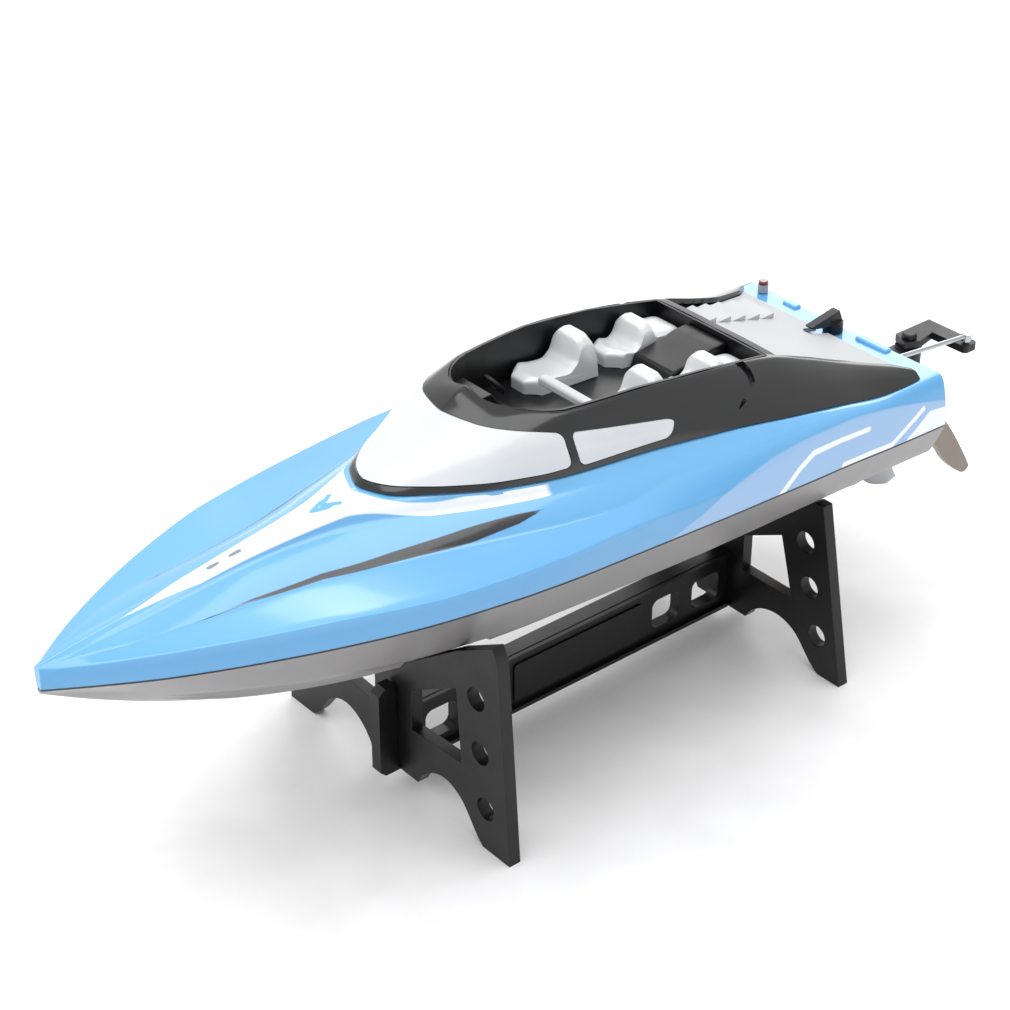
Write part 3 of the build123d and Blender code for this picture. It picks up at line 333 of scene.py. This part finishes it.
class Nodes:
    """Short way to write a shader's node tree."""

    def __init__(self, name):
        self.material = bpy.data.materials.new(name)
        self.material.use_nodes = True
        self.tree = self.material.node_tree
        self.shader = self.tree.nodes["Principled BSDF"]
        self.place = self.tree.nodes.new("ShaderNodeTexCoord").outputs["Object"]

    def add(self, kind, **values):
        node = self.tree.nodes.new(kind)
        for key, value in values.items():
            setattr(node, key, value)
        return node

    def link(self, a, b):
        self.tree.links.new(a, b)

    def noise(self, scale, detail=3.0, rough=0.5, stretch=(1, 1, 1)):
        source = self.place
        if stretch != (1, 1, 1):
            mapping = self.add("ShaderNodeMapping")
            mapping.inputs["Scale"].default_value = stretch
            self.link(self.place, mapping.inputs["Vector"])
            source = mapping.outputs["Vector"]
        node = self.add("ShaderNodeTexNoise")
        node.inputs["Scale"].default_value = scale
        node.inputs["Detail"].default_value = detail
        node.inputs["Roughness"].default_value = rough
        self.link(source, node.inputs["Vector"])
        return node.outputs["Fac"]

    def remap(self, value, a, b, c, d):
        node = self.add("ShaderNodeMapRange")
        self.link(value, node.inputs["Value"])
        for key, number in zip(("From Min", "From Max", "To Min", "To Max"), (a, b, c, d)):
            node.inputs[key].default_value = number
        return node.outputs["Result"]

    def math(self, operation, a, b):
        node = self.add("ShaderNodeMath", operation=operation)
        for socket, value in zip(node.inputs, (a, b)):
            if isinstance(value, (int, float)):
                socket.default_value = value
            else:
                self.link(value, socket)
        return node.outputs[0]

    def mix(self, amount, a, b):
        node = self.add("ShaderNodeMix", data_type="RGBA")
        for socket, value in ((node.inputs["Factor"], amount), (node.inputs[6], a), (node.inputs[7], b)):
            if isinstance(value, (int, float, tuple)):
                socket.default_value = value
            else:
                self.link(value, socket)
        return node.outputs[2]

    def attribute(self, name):
        node = self.add("ShaderNodeAttribute", attribute_name=name)
        return node.outputs["Fac"]

    def bump(self, height, strength, distance):
        node = self.add("ShaderNodeBump")
        node.inputs["Strength"].default_value = strength
        node.inputs["Distance"].default_value = distance
        self.link(height, node.inputs["Height"])
        self.link(node.outputs["Normal"], self.shader.inputs["Normal"])

    def surface(self, colour, rough, spread=0.05, metallic=0.0, coat=0.0, coat_rough=0.08,
                grain=900, depth=0.00002, specular=0.5):
        """Sets the usual inputs: uneven roughness, a fine grain and faint tone changes."""
        if isinstance(colour, tuple):
            shade = self.remap(self.noise(38, 4), 0.3, 0.7, 0.955, 1.045)
            scaled = self.add("ShaderNodeVectorMath", operation="SCALE")
            scaled.inputs[0].default_value = colour[:3]
            self.link(shade, scaled.inputs["Scale"])
            self.link(scaled.outputs["Vector"], self.shader.inputs["Base Color"])
        else:
            self.link(colour, self.shader.inputs["Base Color"])
        smear = self.remap(self.noise(70, 5, 0.6), 0.25, 0.75, rough - spread, rough + spread)
        self.link(smear, self.shader.inputs["Roughness"])
        self.shader.inputs["Metallic"].default_value = metallic
        self.shader.inputs["Coat Weight"].default_value = coat
        self.shader.inputs["Coat Roughness"].default_value = coat_rough
        self.shader.inputs["Specular IOR Level"].default_value = specular
        self.bump(self.noise(grain, 2), 0.5, depth)
        return self.material


def plain(name, tone, rough, **more):
    return Nodes(name).surface(srgb(tone), rough, **more)


BLACK_GLOSS = plain(
    "canopy black gloss", "111215", 0.18, coat=0.5, coat_rough=0.07, spread=0.04, depth=0.00001)
BLACK_SATIN = plain(
    "stand black satin", "0b0b0d", 0.38, spread=0.07, grain=1400, depth=0.00002, specular=0.35)
BLACK_MATTE = plain("tub black matte", "0d0d10", 0.36, spread=0.08, grain=1700, depth=0.00003, specular=0.4)
BLACK_FITTING = plain(
    "moulded black fitting", "131316", 0.42, spread=0.08, grain=1500, depth=0.00003, specular=0.4)
GLAZING = plain("satin white glazing", "d4d7da", 0.24, coat=0.4, coat_rough=0.1, spread=0.04)
SEAT = plain("seat silver", "dfe1e3", 0.3, metallic=0.1, coat=0.3, spread=0.04)
DECK_PANEL = plain("pale grey panel", "b9bbbe", 0.42, spread=0.06, grain=1300)
HULL_GREY = plain("hull silver grey", "8b898a", 0.38, metallic=0.1, coat=0.2, coat_rough=0.2, spread=0.04)
SEAL = plain("pale seal", "5a6066", 0.6)
STEEL = plain("bare steel", "b9bcc0", 0.26, metallic=1.0, spread=0.08, grain=2200)
ALLOY = plain("turned alloy", "b5b8bb", 0.32, metallic=1.0, spread=0.07, grain=2000)
BRASS = plain("brass tube", "b8964f", 0.3, metallic=1.0, spread=0.08)
LENS = plain("dark red lens", "6d1218", 0.15, coat=0.8)
POST = plain("grey post", "9fa2a6", 0.45)
BRONZE = plain("rudder brown grey", "8a7d74", 0.42, spread=0.07)
BATTERY = plain("battery wrap", "2a4d84", 0.28, coat=0.4)
ELECTRONICS = plain("control box", "23262b", 0.5)
MOTOR = plain("motor enamel", "2a2b2f", 0.35, metallic=0.4)


# Deck and hull ---------------------------------------------------------------------------------
def segment_distance(p, a, b):
    d = b - a
    t = np.clip(((p - a) @ d) / max(d @ d, 1e-9), 0, 1)
    return np.linalg.norm(p - (a + t[:, None] * d), axis=1), t


def stroke(p, line, widths):
    """How far inside a stroke of changing half-width each point is; negative outside."""
    best = np.full(len(p), -1e3)
    for (a, b), (wa, wb) in zip(zip(line, line[1:]), zip(widths, widths[1:])):
        gap, t = segment_distance(p, np.array(a, float), np.array(b, float))
        best = np.maximum(best, wa + (wb - wa) * t - gap)
    return best


def inside(p, outline):
    """How far inside a closed outline each point is; negative outside."""
    pts = [np.array(q, float) for q in outline]
    gap = np.full(len(p), 1e3)
    odd = np.zeros(len(p), bool)
    for a, b in zip(pts, pts[1:] + pts[:1]):
        gap = np.minimum(gap, segment_distance(p, a, b)[0])
        crosses = (a[1] > p[:, 1]) != (b[1] > p[:, 1])
        at = a[0] + (p[:, 1] - a[1]) / (b[1] - a[1] + 1e-12) * (b[0] - a[0])
        odd ^= crosses & (p[:, 0] < at)
    return np.where(odd, gap, -gap)


def store(obj, name, values):
    layer = obj.data.attributes.new(name, "FLOAT", "POINT")
    layer.data.foreach_set("value", values.astype(np.float32))


def vertex_mm(obj):
    co = np.zeros(len(obj.data.vertices) * 3, np.float32)
    obj.data.vertices.foreach_get("co", co)
    return co.reshape(-1, 3).astype(float) / MM


def deck_marks(obj):
    """Signed distances, in millimetres, to every printed area of the deck."""
    p = vertex_mm(obj)
    x, y, z = p[:, 0], np.abs(p[:, 1]), p[:, 2]
    plan, side = np.column_stack([x, y]), np.column_stack([x, z])
    rows = through(OFFSETS, x)
    crease, top = rows[:, 8], rows[:, 10]
    foot_line = [(xx, through(CANOPY, xx)[0][0]) for xx in np.linspace(81, 20, 40)]
    foot_line = [(81.6, 0.0)] + foot_line
    foot_gap = np.min([segment_distance(plan, np.array(a), np.array(b))[0]
                       for a, b in zip(foot_line, foot_line[1:])], axis=0)
    to_crease = np.clip((90 - x) / 20, 0, 1)
    edge = top + 0.35 + (crease - top + 0.5) * to_crease
    tip = np.clip((156 - x) / 22, 0, 1)
    band = 0.1 + 1.5 * np.clip((x - 60) / 18, 0, 1)
    spine = np.minimum(edge * tip - y, foot_gap - band)
    spine = np.minimum(spine, (x - 38) * 0.16)
    under = (x < 81) & (y < through(CANOPY, x)[:, 0])
    store(obj, "spine", np.where(under | (z < 88), -5.0, spine))
    slash = stroke(plan, [(147, 11.6), (125, 13.4), (105, 16.2), (85, 21.2), (64, 26.6), (50, 30.0),
                          (42, 31.6)], [0, 0.35, 0.7, 1.15, 1.55, 1.0, 0])
    store(obj, "slash", np.where(z > 86, slash, -5))
    rise = through(np.array([(14.0, 77.5), (6, 79.4), (-4, 82.4), (-14, 85.4), (-24, 87.2), (-36, 89.2),
                             (-50, 90.0), (-66, 89.9), (-80, 88.2), (-92, 85.9), (-109, 81.6)]), x)[:, 0]
    outer = y > 40.0
    store(obj, "lilac", np.where(outer & (x < 14), rise - z, -5))
    stripes = np.maximum.reduce([
        stroke(side, [(-35.0, 75.6), (-44.2, 82.0), (-50.5, 85.0), (-62.2, 85.0), (-74.2, 84.4)],
               [0.9, 0.9, 0.9, 0.8, 0.8]),
        stroke(side, [(-63.3, 76.3), (-74.3, 75.9), (-84.4, 75.4), (-91.6, 79.0), (-98.8, 82.4)],
               [1.2, 1.1, 0.9, 0.8, 0.8]),
        inside(side, [(-101.5, 80.6), (-109.2, 79.6), (-109.2, 72), (-90.0, 74.3), (-94.2, 76.2)]),
    ])
    store(obj, "stripe", np.where(outer, stripes, -5))
    dashes = np.maximum(stroke(plan, [(119.6, 0.1), (122.4, 0.1)], [0.6, 0.6]),
                        stroke(plan, [(126.6, 0.1), (129.4, 0.1)], [0.6, 0.6]))
    mark = np.maximum(stroke(plan, [(92.0, 1.7), (96.4, 0.0)], [0.75, 0.75]),
                      stroke(plan, [(88.6, 2.6), (93.0, 0.0)], [0.75, 0.75]))
    store(obj, "dash", np.where(z > 88, dashes, -5))
    store(obj, "mark", np.where(z > 88, mark, -5))


def deck_paint():
    n = Nodes("deck blue")

    def over(name, base, tone, soft=0.12):
        cover = n.remap(n.attribute(name), -soft, soft, 0, 1)
        return n.mix(cover, base, tone)

    # Painted shade: below the deck's top edge the sides are mixed towards a darker blue than the top, as if
    # less lit.
    height = n.add("ShaderNodeSeparateXYZ")
    n.link(n.place, height.inputs[0])
    low = n.remap(height.outputs["Z"], 0.0885, 0.0925, 1, 0)
    blue = n.mix(n.remap(n.noise(30, 3), 0.3, 0.7, 0.0, 0.12), srgb("6bb0e2"), srgb("78b8e6"))
    blue = n.mix(low, blue, srgb("5aa4da"))
    colour = over("lilac", blue, srgb("93b9e2"), 0.3)
    colour = over("stripe", colour, srgb("eef3f8"))
    colour = over("spine", colour, srgb("eef1f4"))
    colour = over("dash", colour, srgb("7f8d98"))
    colour = over("mark", colour, srgb("6bb0e2"))
    colour = over("slash", colour, srgb("1d1f25"))
    n.surface(colour, 0.2, spread=0.04, coat=0.6, coat_rough=0.07, depth=0.000012)
    return n.material


DECK_BLUE = deck_paint()
step = 2.2


def round_plan(length, width, radius, centre, low, high):
    """Upright block over a rounded rectangle whose ends follow the hatch."""
    outline = []
    for sx, sy, start in ((1, 1, 0), (-1, 1, 90), (-1, -1, 180), (1, -1, 270)):
        for k in range(7):
            a = math.radians(start + 15 * k)
            outline.append((centre + sx * (length / 2 - radius) + radius * math.cos(a),
                            sy * (width / 2 - radius) + radius * math.sin(a)))
    return prism("block", outline, low, high)


coarse = 1
xs = np.concatenate([stations(-109.0, 15.0, 1.0 * coarse)[:-1], stations(15.0, 180.8, 1.6 * coarse)])
deck = through_stations("deck_skin", xs, [deck_profile(x, 0.0, 0.6) for x in xs])
inner_xs = stations(-107.2, 172.0, 6.0)
boolean(deck, through_stations("void", inner_xs, [deck_profile(x, DEEP, -6.0) for x in inner_xs]))
hatch_centre = (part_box("inner_hatch")[0].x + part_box("inner_hatch")[1].x) / 2 / MM
boolean(deck, round_plan(111.8, 39.8, 7, hatch_centre, 60, 130))
deck_marks(deck)
deck.data.materials.append(DECK_BLUE)
shade_by_angle(deck, 34)

pan = duplicate(frame["nodes"]["deck_shell"], "hatch_pan")
pan.data.materials.clear()
boolean(pan, round_plan(111.9, 39.9, 7, hatch_centre, 60, 130), "INTERSECT")
# Painted shade: the recessed pan under the canopy is given the darker blue of the shaded deck sides.
pan.data.materials.append(plain("pan blue with painted shade", "5aa4da", 0.3, coat=0.3))
shade_by_angle(pan, 30)

hull = through_stations("hull_skin", xs, [hull_profile(x, 0.0) for x in xs])
boolean(hull, through_stations("void", inner_xs, [hull_profile(x, DEEP) for x in inner_xs]))
hull.data.materials.append(HULL_GREY)
shade_by_angle(hull, 30)

boss_aft, boss_fore = -108.9, -105.9
boss_low, boss_high = 87.0, 90.2
for name, y, wide in (("stern_boss_starboard", -20.5, 6.0), ("stern_boss_port", 14.6, 13.0)):
    near, far = y - wide / 2, y + wide / 2
    outline = [(boss_aft, near), (boss_fore, near), (boss_fore, far), (boss_aft, far)]
    block = prism(name, outline, boss_low, boss_high)
    soften(block, 0.7, segments=3)
    block.data.materials.append(plain("boss blue", "6bb0e2", 0.24, coat=0.5))
    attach(block, "boat")

for piece, node in ((deck, "deck_shell"), (hull, "hull_shell")):
    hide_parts(node)
    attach(piece, "boat")
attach(pan, "boat")

# Canopy ----------------------------------------------------------------------------------------
cockpit_plan = [
    (44.2, 0), (43.9, 3.5), (42.9, 7.2), (41.0, 11.0), (38.4, 14.3), (35.0, 17.3),
    (31.2, 19.8), (27.0, 21.6), (20.0, 22.8), (11.0, 23.9), (2.5, 24.6), (-10.0, 25.0),
    (-22.0, 25.0), (-36.0, 24.5), (-50.0, 23.7),
]
well_plan = [(-53.4, 23.6), (-66, 24.6), (-80, 27.2), (-95, 32.0), (-104.0, 37.6)]
screen_side = [(82, 105.4), (82, 114), (60, 122), (54.2, 117.4), (43.9, 115.7), (35.6, 114.2),
               (30.2, 112.9), (29.4, 103.3), (38, 103.5), (55, 104.5), (70, 105.4)]
window_side = [(27.8, 112.4), (-6.0, 106.6), (-7.2, 105.0), (-4.4, 101.4), (26.8, 102.6)]


def eased(outline, cuts=(1.2, 0.5, 0.2)):
    """Closed outline with its corners cut back by ever smaller distances in mm, so that they read round."""
    pts = [np.array(p, float) for p in outline]
    for cut in cuts:
        rounder = []
        for a, b in zip(pts, pts[1:] + pts[:1]):
            t = min(0.3, cut / np.linalg.norm(b - a))
            rounder += [a + (b - a) * t, b + (a - b) * t]
        pts = rounder
    return [tuple(p) for p in pts]


def mirrored_plan(points):
    return points + [(x, -y) for x, y in reversed(points) if y > 0]


def shrunk(outline, gap):
    """Outline moved inwards by a small gap."""
    pts = [np.array(p, float) for p in outline]
    area = sum(a[0] * b[1] - b[0] * a[1] for a, b in zip(pts, pts[1:] + pts[:1]))
    out = []
    for before, here, after in zip(pts[-1:] + pts[:-1], pts, pts[1:] + pts[:1]):
        d1, d2 = here - before, after - here
        n1 = np.array([-d1[1], d1[0]]) / max(np.linalg.norm(d1), 1e-9)
        n2 = np.array([-d2[1], d2[0]]) / max(np.linalg.norm(d2), 1e-9)
        n = n1 + n2
        out.append(tuple(here + (1 if area > 0 else -1) * gap * n / max(1 + n1 @ n2, 0.4)))
    return out


canopy_xs = stations(-101.0, 81.0, step * 0.8)
void_xs = stations(-95.0, 77.5, 4.0)
shell = through_stations("canopy_skin", canopy_xs, [canopy_profile(x, 0.0, 0.0) for x in canopy_xs])
boolean(shell, through_stations("void", void_xs, [canopy_profile(x, 1.6, 4.0) for x in void_xs]))
screen = duplicate(shell, "windshield_pane")
gill_side = [(-34.6, 118.5), (-37.6, 114.2), (-39.4, 110.6), (-39.9, 107.6), (-38.4, 105.6), (-35.4, 104.2),
             (-28.6, 101.6), (-31.4, 103.8), (-33.8, 106.4), (-35.4, 109.4), (-35.9, 113.0)]
gill = through_stations("gill_floor", canopy_xs, [canopy_profile(x, 1.1, 0.5) for x in canopy_xs])
boolean(gill, through_stations("void", void_xs, [canopy_profile(x, 1.6, 4.0) for x in void_xs]))
gill_hole = eased(gill_side)
gills = {"port": gill, "starboard": duplicate(gill, "gill_floor_starboard")}
gill.name = "gill_floor_port"
boolean(gills["port"], prism("hole", gill_hole, 5, 60, "Y"), "INTERSECT")
boolean(gills["starboard"], prism("hole", gill_hole, -60, -5, "Y"), "INTERSECT")
for piece in gills.values():
    boolean(piece, prism("hole", mirrored_plan(cockpit_plan), 80, 140))
panes = {side: duplicate(shell, f"side_pane_{side}") for side in ("port", "starboard")}
boolean(shell, prism("hole", mirrored_plan(cockpit_plan), 80, 140))
boolean(shell, prism("hole", mirrored_plan(well_plan), 80, 140))
boolean(shell, prism("hole", gill_hole, 5, 60, "Y"))
boolean(shell, prism("hole", gill_hole, -60, -5, "Y"))
for piece in gills.values():
    piece.data.materials.append(BLACK_GLOSS)
    shade_by_angle(piece, 40)
    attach(piece, "canopy")
screen_hole = eased(screen_side)
window_hole = eased(window_side)
boolean(shell, prism("hole", screen_hole, -60, 60, "Y"))
boolean(shell, prism("hole", window_hole, 5, 60, "Y"))
boolean(shell, prism("hole", window_hole, -60, -5, "Y"))
boolean(screen, prism("hole", shrunk(screen_hole, 0.22), -60, 60, "Y"), "INTERSECT")
boolean(screen, prism("hole", mirrored_plan(cockpit_plan), 80, 140))
boolean(panes["port"], prism("hole", shrunk(window_hole, 0.22), 5, 60, "Y"), "INTERSECT")
boolean(panes["starboard"], prism("hole", shrunk(window_hole, 0.22), -60, -5, "Y"), "INTERSECT")
for piece, node, finish in (
    (shell, "canopy_shell", BLACK_GLOSS), (screen, "windshield", GLAZING),
    (panes["port"], "side_window_port", GLAZING), (panes["starboard"], "side_window_starboard", GLAZING),
):
    piece.data.materials.clear()
    piece.data.materials.append(finish)
    shade_by_angle(piece, 32)
    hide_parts(node)
    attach(piece, "canopy")


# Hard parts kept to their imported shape, with real edges -----------------------------------------
def refine(node, body, finish, width, shade=40):
    piece = cleaned_copy(node, f"{node}_finished")
    soften(piece, width, shade=shade)
    piece.data.materials.append(finish)
    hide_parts(node)
    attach(piece, body)
    return piece


refine("front_plate", "stand", BLACK_SATIN, 0.35)
refine("rear_plate", "stand", BLACK_SATIN, 0.35)
refine("centre_rail", "stand", BLACK_SATIN, 0.3)
refine("cockpit_tub", "canopy", BLACK_MATTE, 0.25)
refine("rear_deck", "canopy", DECK_PANEL, 0.2)
refine("deck_louvres", "canopy", DECK_PANEL, 0.2)
refine("centre_console", "canopy", BLACK_MATTE, 0.8)
refine("helm_console", "canopy", BLACK_MATTE, 0.5)
refine("steering_wheel", "canopy", BLACK_FITTING, 0.2)
refine("cockpit_rail", "canopy", DECK_PANEL, 0.4)
refine("latch_knob", "latch", BLACK_FITTING, 0.5)
refine("rudder_bracket", "boat", BLACK_FITTING, 0.4)
refine("rudder_blade", "rudder", BRONZE, 0.7)
refine("tiller_arm", "rudder", BLACK_FITTING, 0.35)
refine("tiller_bolt", "rudder", BLACK_FITTING, 0.2)
refine("rod_guide", "boat", BLACK_FITTING, 0.3)
refine("propeller_strut", "boat", ALLOY, 0.3)
refine("propeller", "drive", DECK_PANEL, 0.12)

finishes = {
    "stand_black": BLACK_SATIN, "hull_grey": HULL_GREY, "deck_blue": DECK_BLUE, "seal_white": SEAL,
    "canopy_black": BLACK_GLOSS, "glazing_white": GLAZING, "tub_black": BLACK_MATTE, "seat_silver": SEAT,
    "deck_grey": DECK_PANEL, "fitting_black": BLACK_FITTING, "lens_red": LENS, "post_grey": POST,
    "steel": STEEL, "brass": BRASS, "alloy": ALLOY, "rudder_bronze": BRONZE, "motor_black": MOTOR,
    "battery_wrap": BATTERY, "electronics": ELECTRONICS,
}
slot_of = {part["node"]: part["material_slot"] for part in frame["record"]["subparts"]}
for node, obj in frame["nodes"].items():
    obj.data.materials.clear()
    obj.data.materials.append(finishes[slot_of[node]])


# Seats -----------------------------------------------------------------------------------------
def seat(name, node, profile, groove_x, low_y, high_y):
    """Moulded bucket seat: the side profile swept across, drawn in towards both sides."""
    ys = np.concatenate([np.linspace(0, 0.16, 5), np.linspace(0.2, 0.8, 19), np.linspace(0.84, 1, 5)])
    rows = []
    base = np.array(profile, float)
    fine = [base[0]]
    for a, b in zip(base, base[1:]):
        fine += [a + (b - a) * t for t in np.linspace(0, 1, 7)[1:]]
    fine = np.array(fine)
    for _ in range(2):
        fine[1:-1] = (fine[:-2] + 2 * fine[1:-1] + fine[2:]) / 4
    front, back = base[:, 0].max(), base[:, 0].min()
    top = base[:, 1].max()
    for u in ys:
        side = abs(u - 0.5) * 2
        line = fine.copy()
        pull = max(0.0, side - 0.45) / 0.55
        reach = np.clip((line[:, 0] - (front - 9)) / 9, 0, 1)
        line[:, 0] -= reach * 4.2 * pull
        tall = np.clip((line[:, 1] - (top - 8)) / 8, 0, 1)
        line[:, 1] -= tall * (2.6 * pull**1.5)
        if side > 0.8:
            line[:, 1] -= (side - 0.8) * 2.2
        scoop = np.exp(-((line[:, 0] - (front - 8)) / 5.0) ** 2)
        line[:, 1] -= scoop * 0.7 * (1 - side**2)
        crest = np.exp(-((line[:, 0] - groove_x) / 1.0) ** 2) * (1 if side < 0.66 else 0)
        line[:, 1] -= crest * 0.9
        rows.append(line)
    count = len(rows[0])
    verts = []
    for u, line in zip(ys, rows):
        y = low_y + (high_y - low_y) * u
        verts += [(x * MM, y * MM, z * MM) for x, z in line]
    faces = []
    for i in range(len(ys) - 1):
        for j in range(count):
            k = (j + 1) % count
            a, b = i * count, (i + 1) * count
            faces.append((a + j, b + j, b + k, a + k))
    faces.append(tuple(range(count)))
    faces.append(tuple((len(ys) - 1) * count + j for j in reversed(range(count))))
    piece = from_mesh_data(name, verts, faces)
    outward(piece)
    shade_by_angle(piece, 50)
    piece.data.materials.append(SEAT)
    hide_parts(node)
    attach(piece, "canopy")
    return piece


front_seat = [(12.0, 102.2), (12.2, 106.0), (9.6, 107.3), (-2.6, 105.4), (-5.4, 107.8), (-7.0, 114.4),
              (-8.8, 115.1), (-10.6, 115.0), (-12.6, 112.0), (-13.7, 101.2)]
rear_seat = [(-19.4, 100.2), (-19.2, 104.4), (-22.0, 105.5), (-28.4, 103.8), (-30.4, 105.8), (-31.8, 110.8),
             (-33.6, 111.4), (-35.2, 111.0), (-36.6, 107.2), (-47.4, 105.6), (-48.1, 98.6)]
for side, low_y, high_y in (("port", 9.2, 21.8), ("starboard", -21.8, -9.2)):
    seat(f"front_seat_{side}", f"seat_front_{side}", front_seat, -8.6, low_y, high_y)
    seat(f"rear_seat_{side}", f"seat_rear_{side}", rear_seat, -33.2, low_y, high_y)


# Floor, light and camera -----------------------------------------------------------------------
def floor_material():
    n = Nodes("studio floor")
    n.surface(srgb("f6f6f7"), 0.55, spread=0.05, grain=300, depth=0.00001, specular=0.3)
    return n.material


ground = from_mesh_data("studio_floor", [(-6, -6, 0), (6, -6, 0), (6, 6, 0), (-6, 6, 0)], [(0, 1, 2, 3)])
ground.data.materials.append(floor_material())

world = bpy.data.worlds.new("studio")
world.use_nodes = True
world.node_tree.nodes["Background"].inputs["Color"].default_value = (1.0, 1.0, 1.0, 1.0)
world.node_tree.nodes["Background"].inputs["Strength"].default_value = 0.82
bpy.context.scene.world = world
bpy.context.scene.view_settings.view_transform = "Standard"


def softbox(name, place, target, size, power):
    light = bpy.data.lights.new(name, "AREA")
    light.shape = "RECTANGLE"
    light.size, light.size_y = size
    light.energy = power
    obj = bpy.data.objects.new(name, light)
    bpy.context.scene.collection.objects.link(obj)
    obj.location = place
    direction = Vector(target) - Vector(place)
    obj.rotation_euler = direction.to_track_quat("-Z", "Y").to_euler()


softbox("overhead", (0.1, 0.1, 1.3), (0, 0, 0.05), (1.3, 1.0), 9)
softbox("left", (1.1, -0.6, 0.7), (0, 0, 0.08), (0.8, 0.8), 5)
softbox("behind", (-0.9, -0.7, 0.7), (0, 0, 0.08), (0.9, 0.6), 5)

camera = bpy.data.cameras.new("camera")
camera.sensor_width = 36
camera.lens = 83.87
camera.clip_start = 0.02
camera.shift_x = 0.0001287
camera.shift_y = -0.0000495
camera_place = (0.39733, 0.43680, 0.43116)
view = bpy.data.objects.new("camera", camera)
bpy.context.scene.collection.objects.link(view)
azimuth, elevation, roll = math.radians(49.90), math.radians(31.76), math.radians(0.32)
level = math.cos(elevation)
back = Vector((math.cos(azimuth) * level, math.sin(azimuth) * level, math.sin(elevation)))
right = Vector((0, 0, 1)).cross(back).normalized()
up = back.cross(right)
across = math.cos(roll) * right + math.sin(roll) * up
upward = -math.sin(roll) * right + math.cos(roll) * up
turn = Matrix((across, upward, back)).transposed().to_4x4()
view.matrix_world = Matrix.Translation(camera_place) @ turn
bpy.context.scene.camera = view
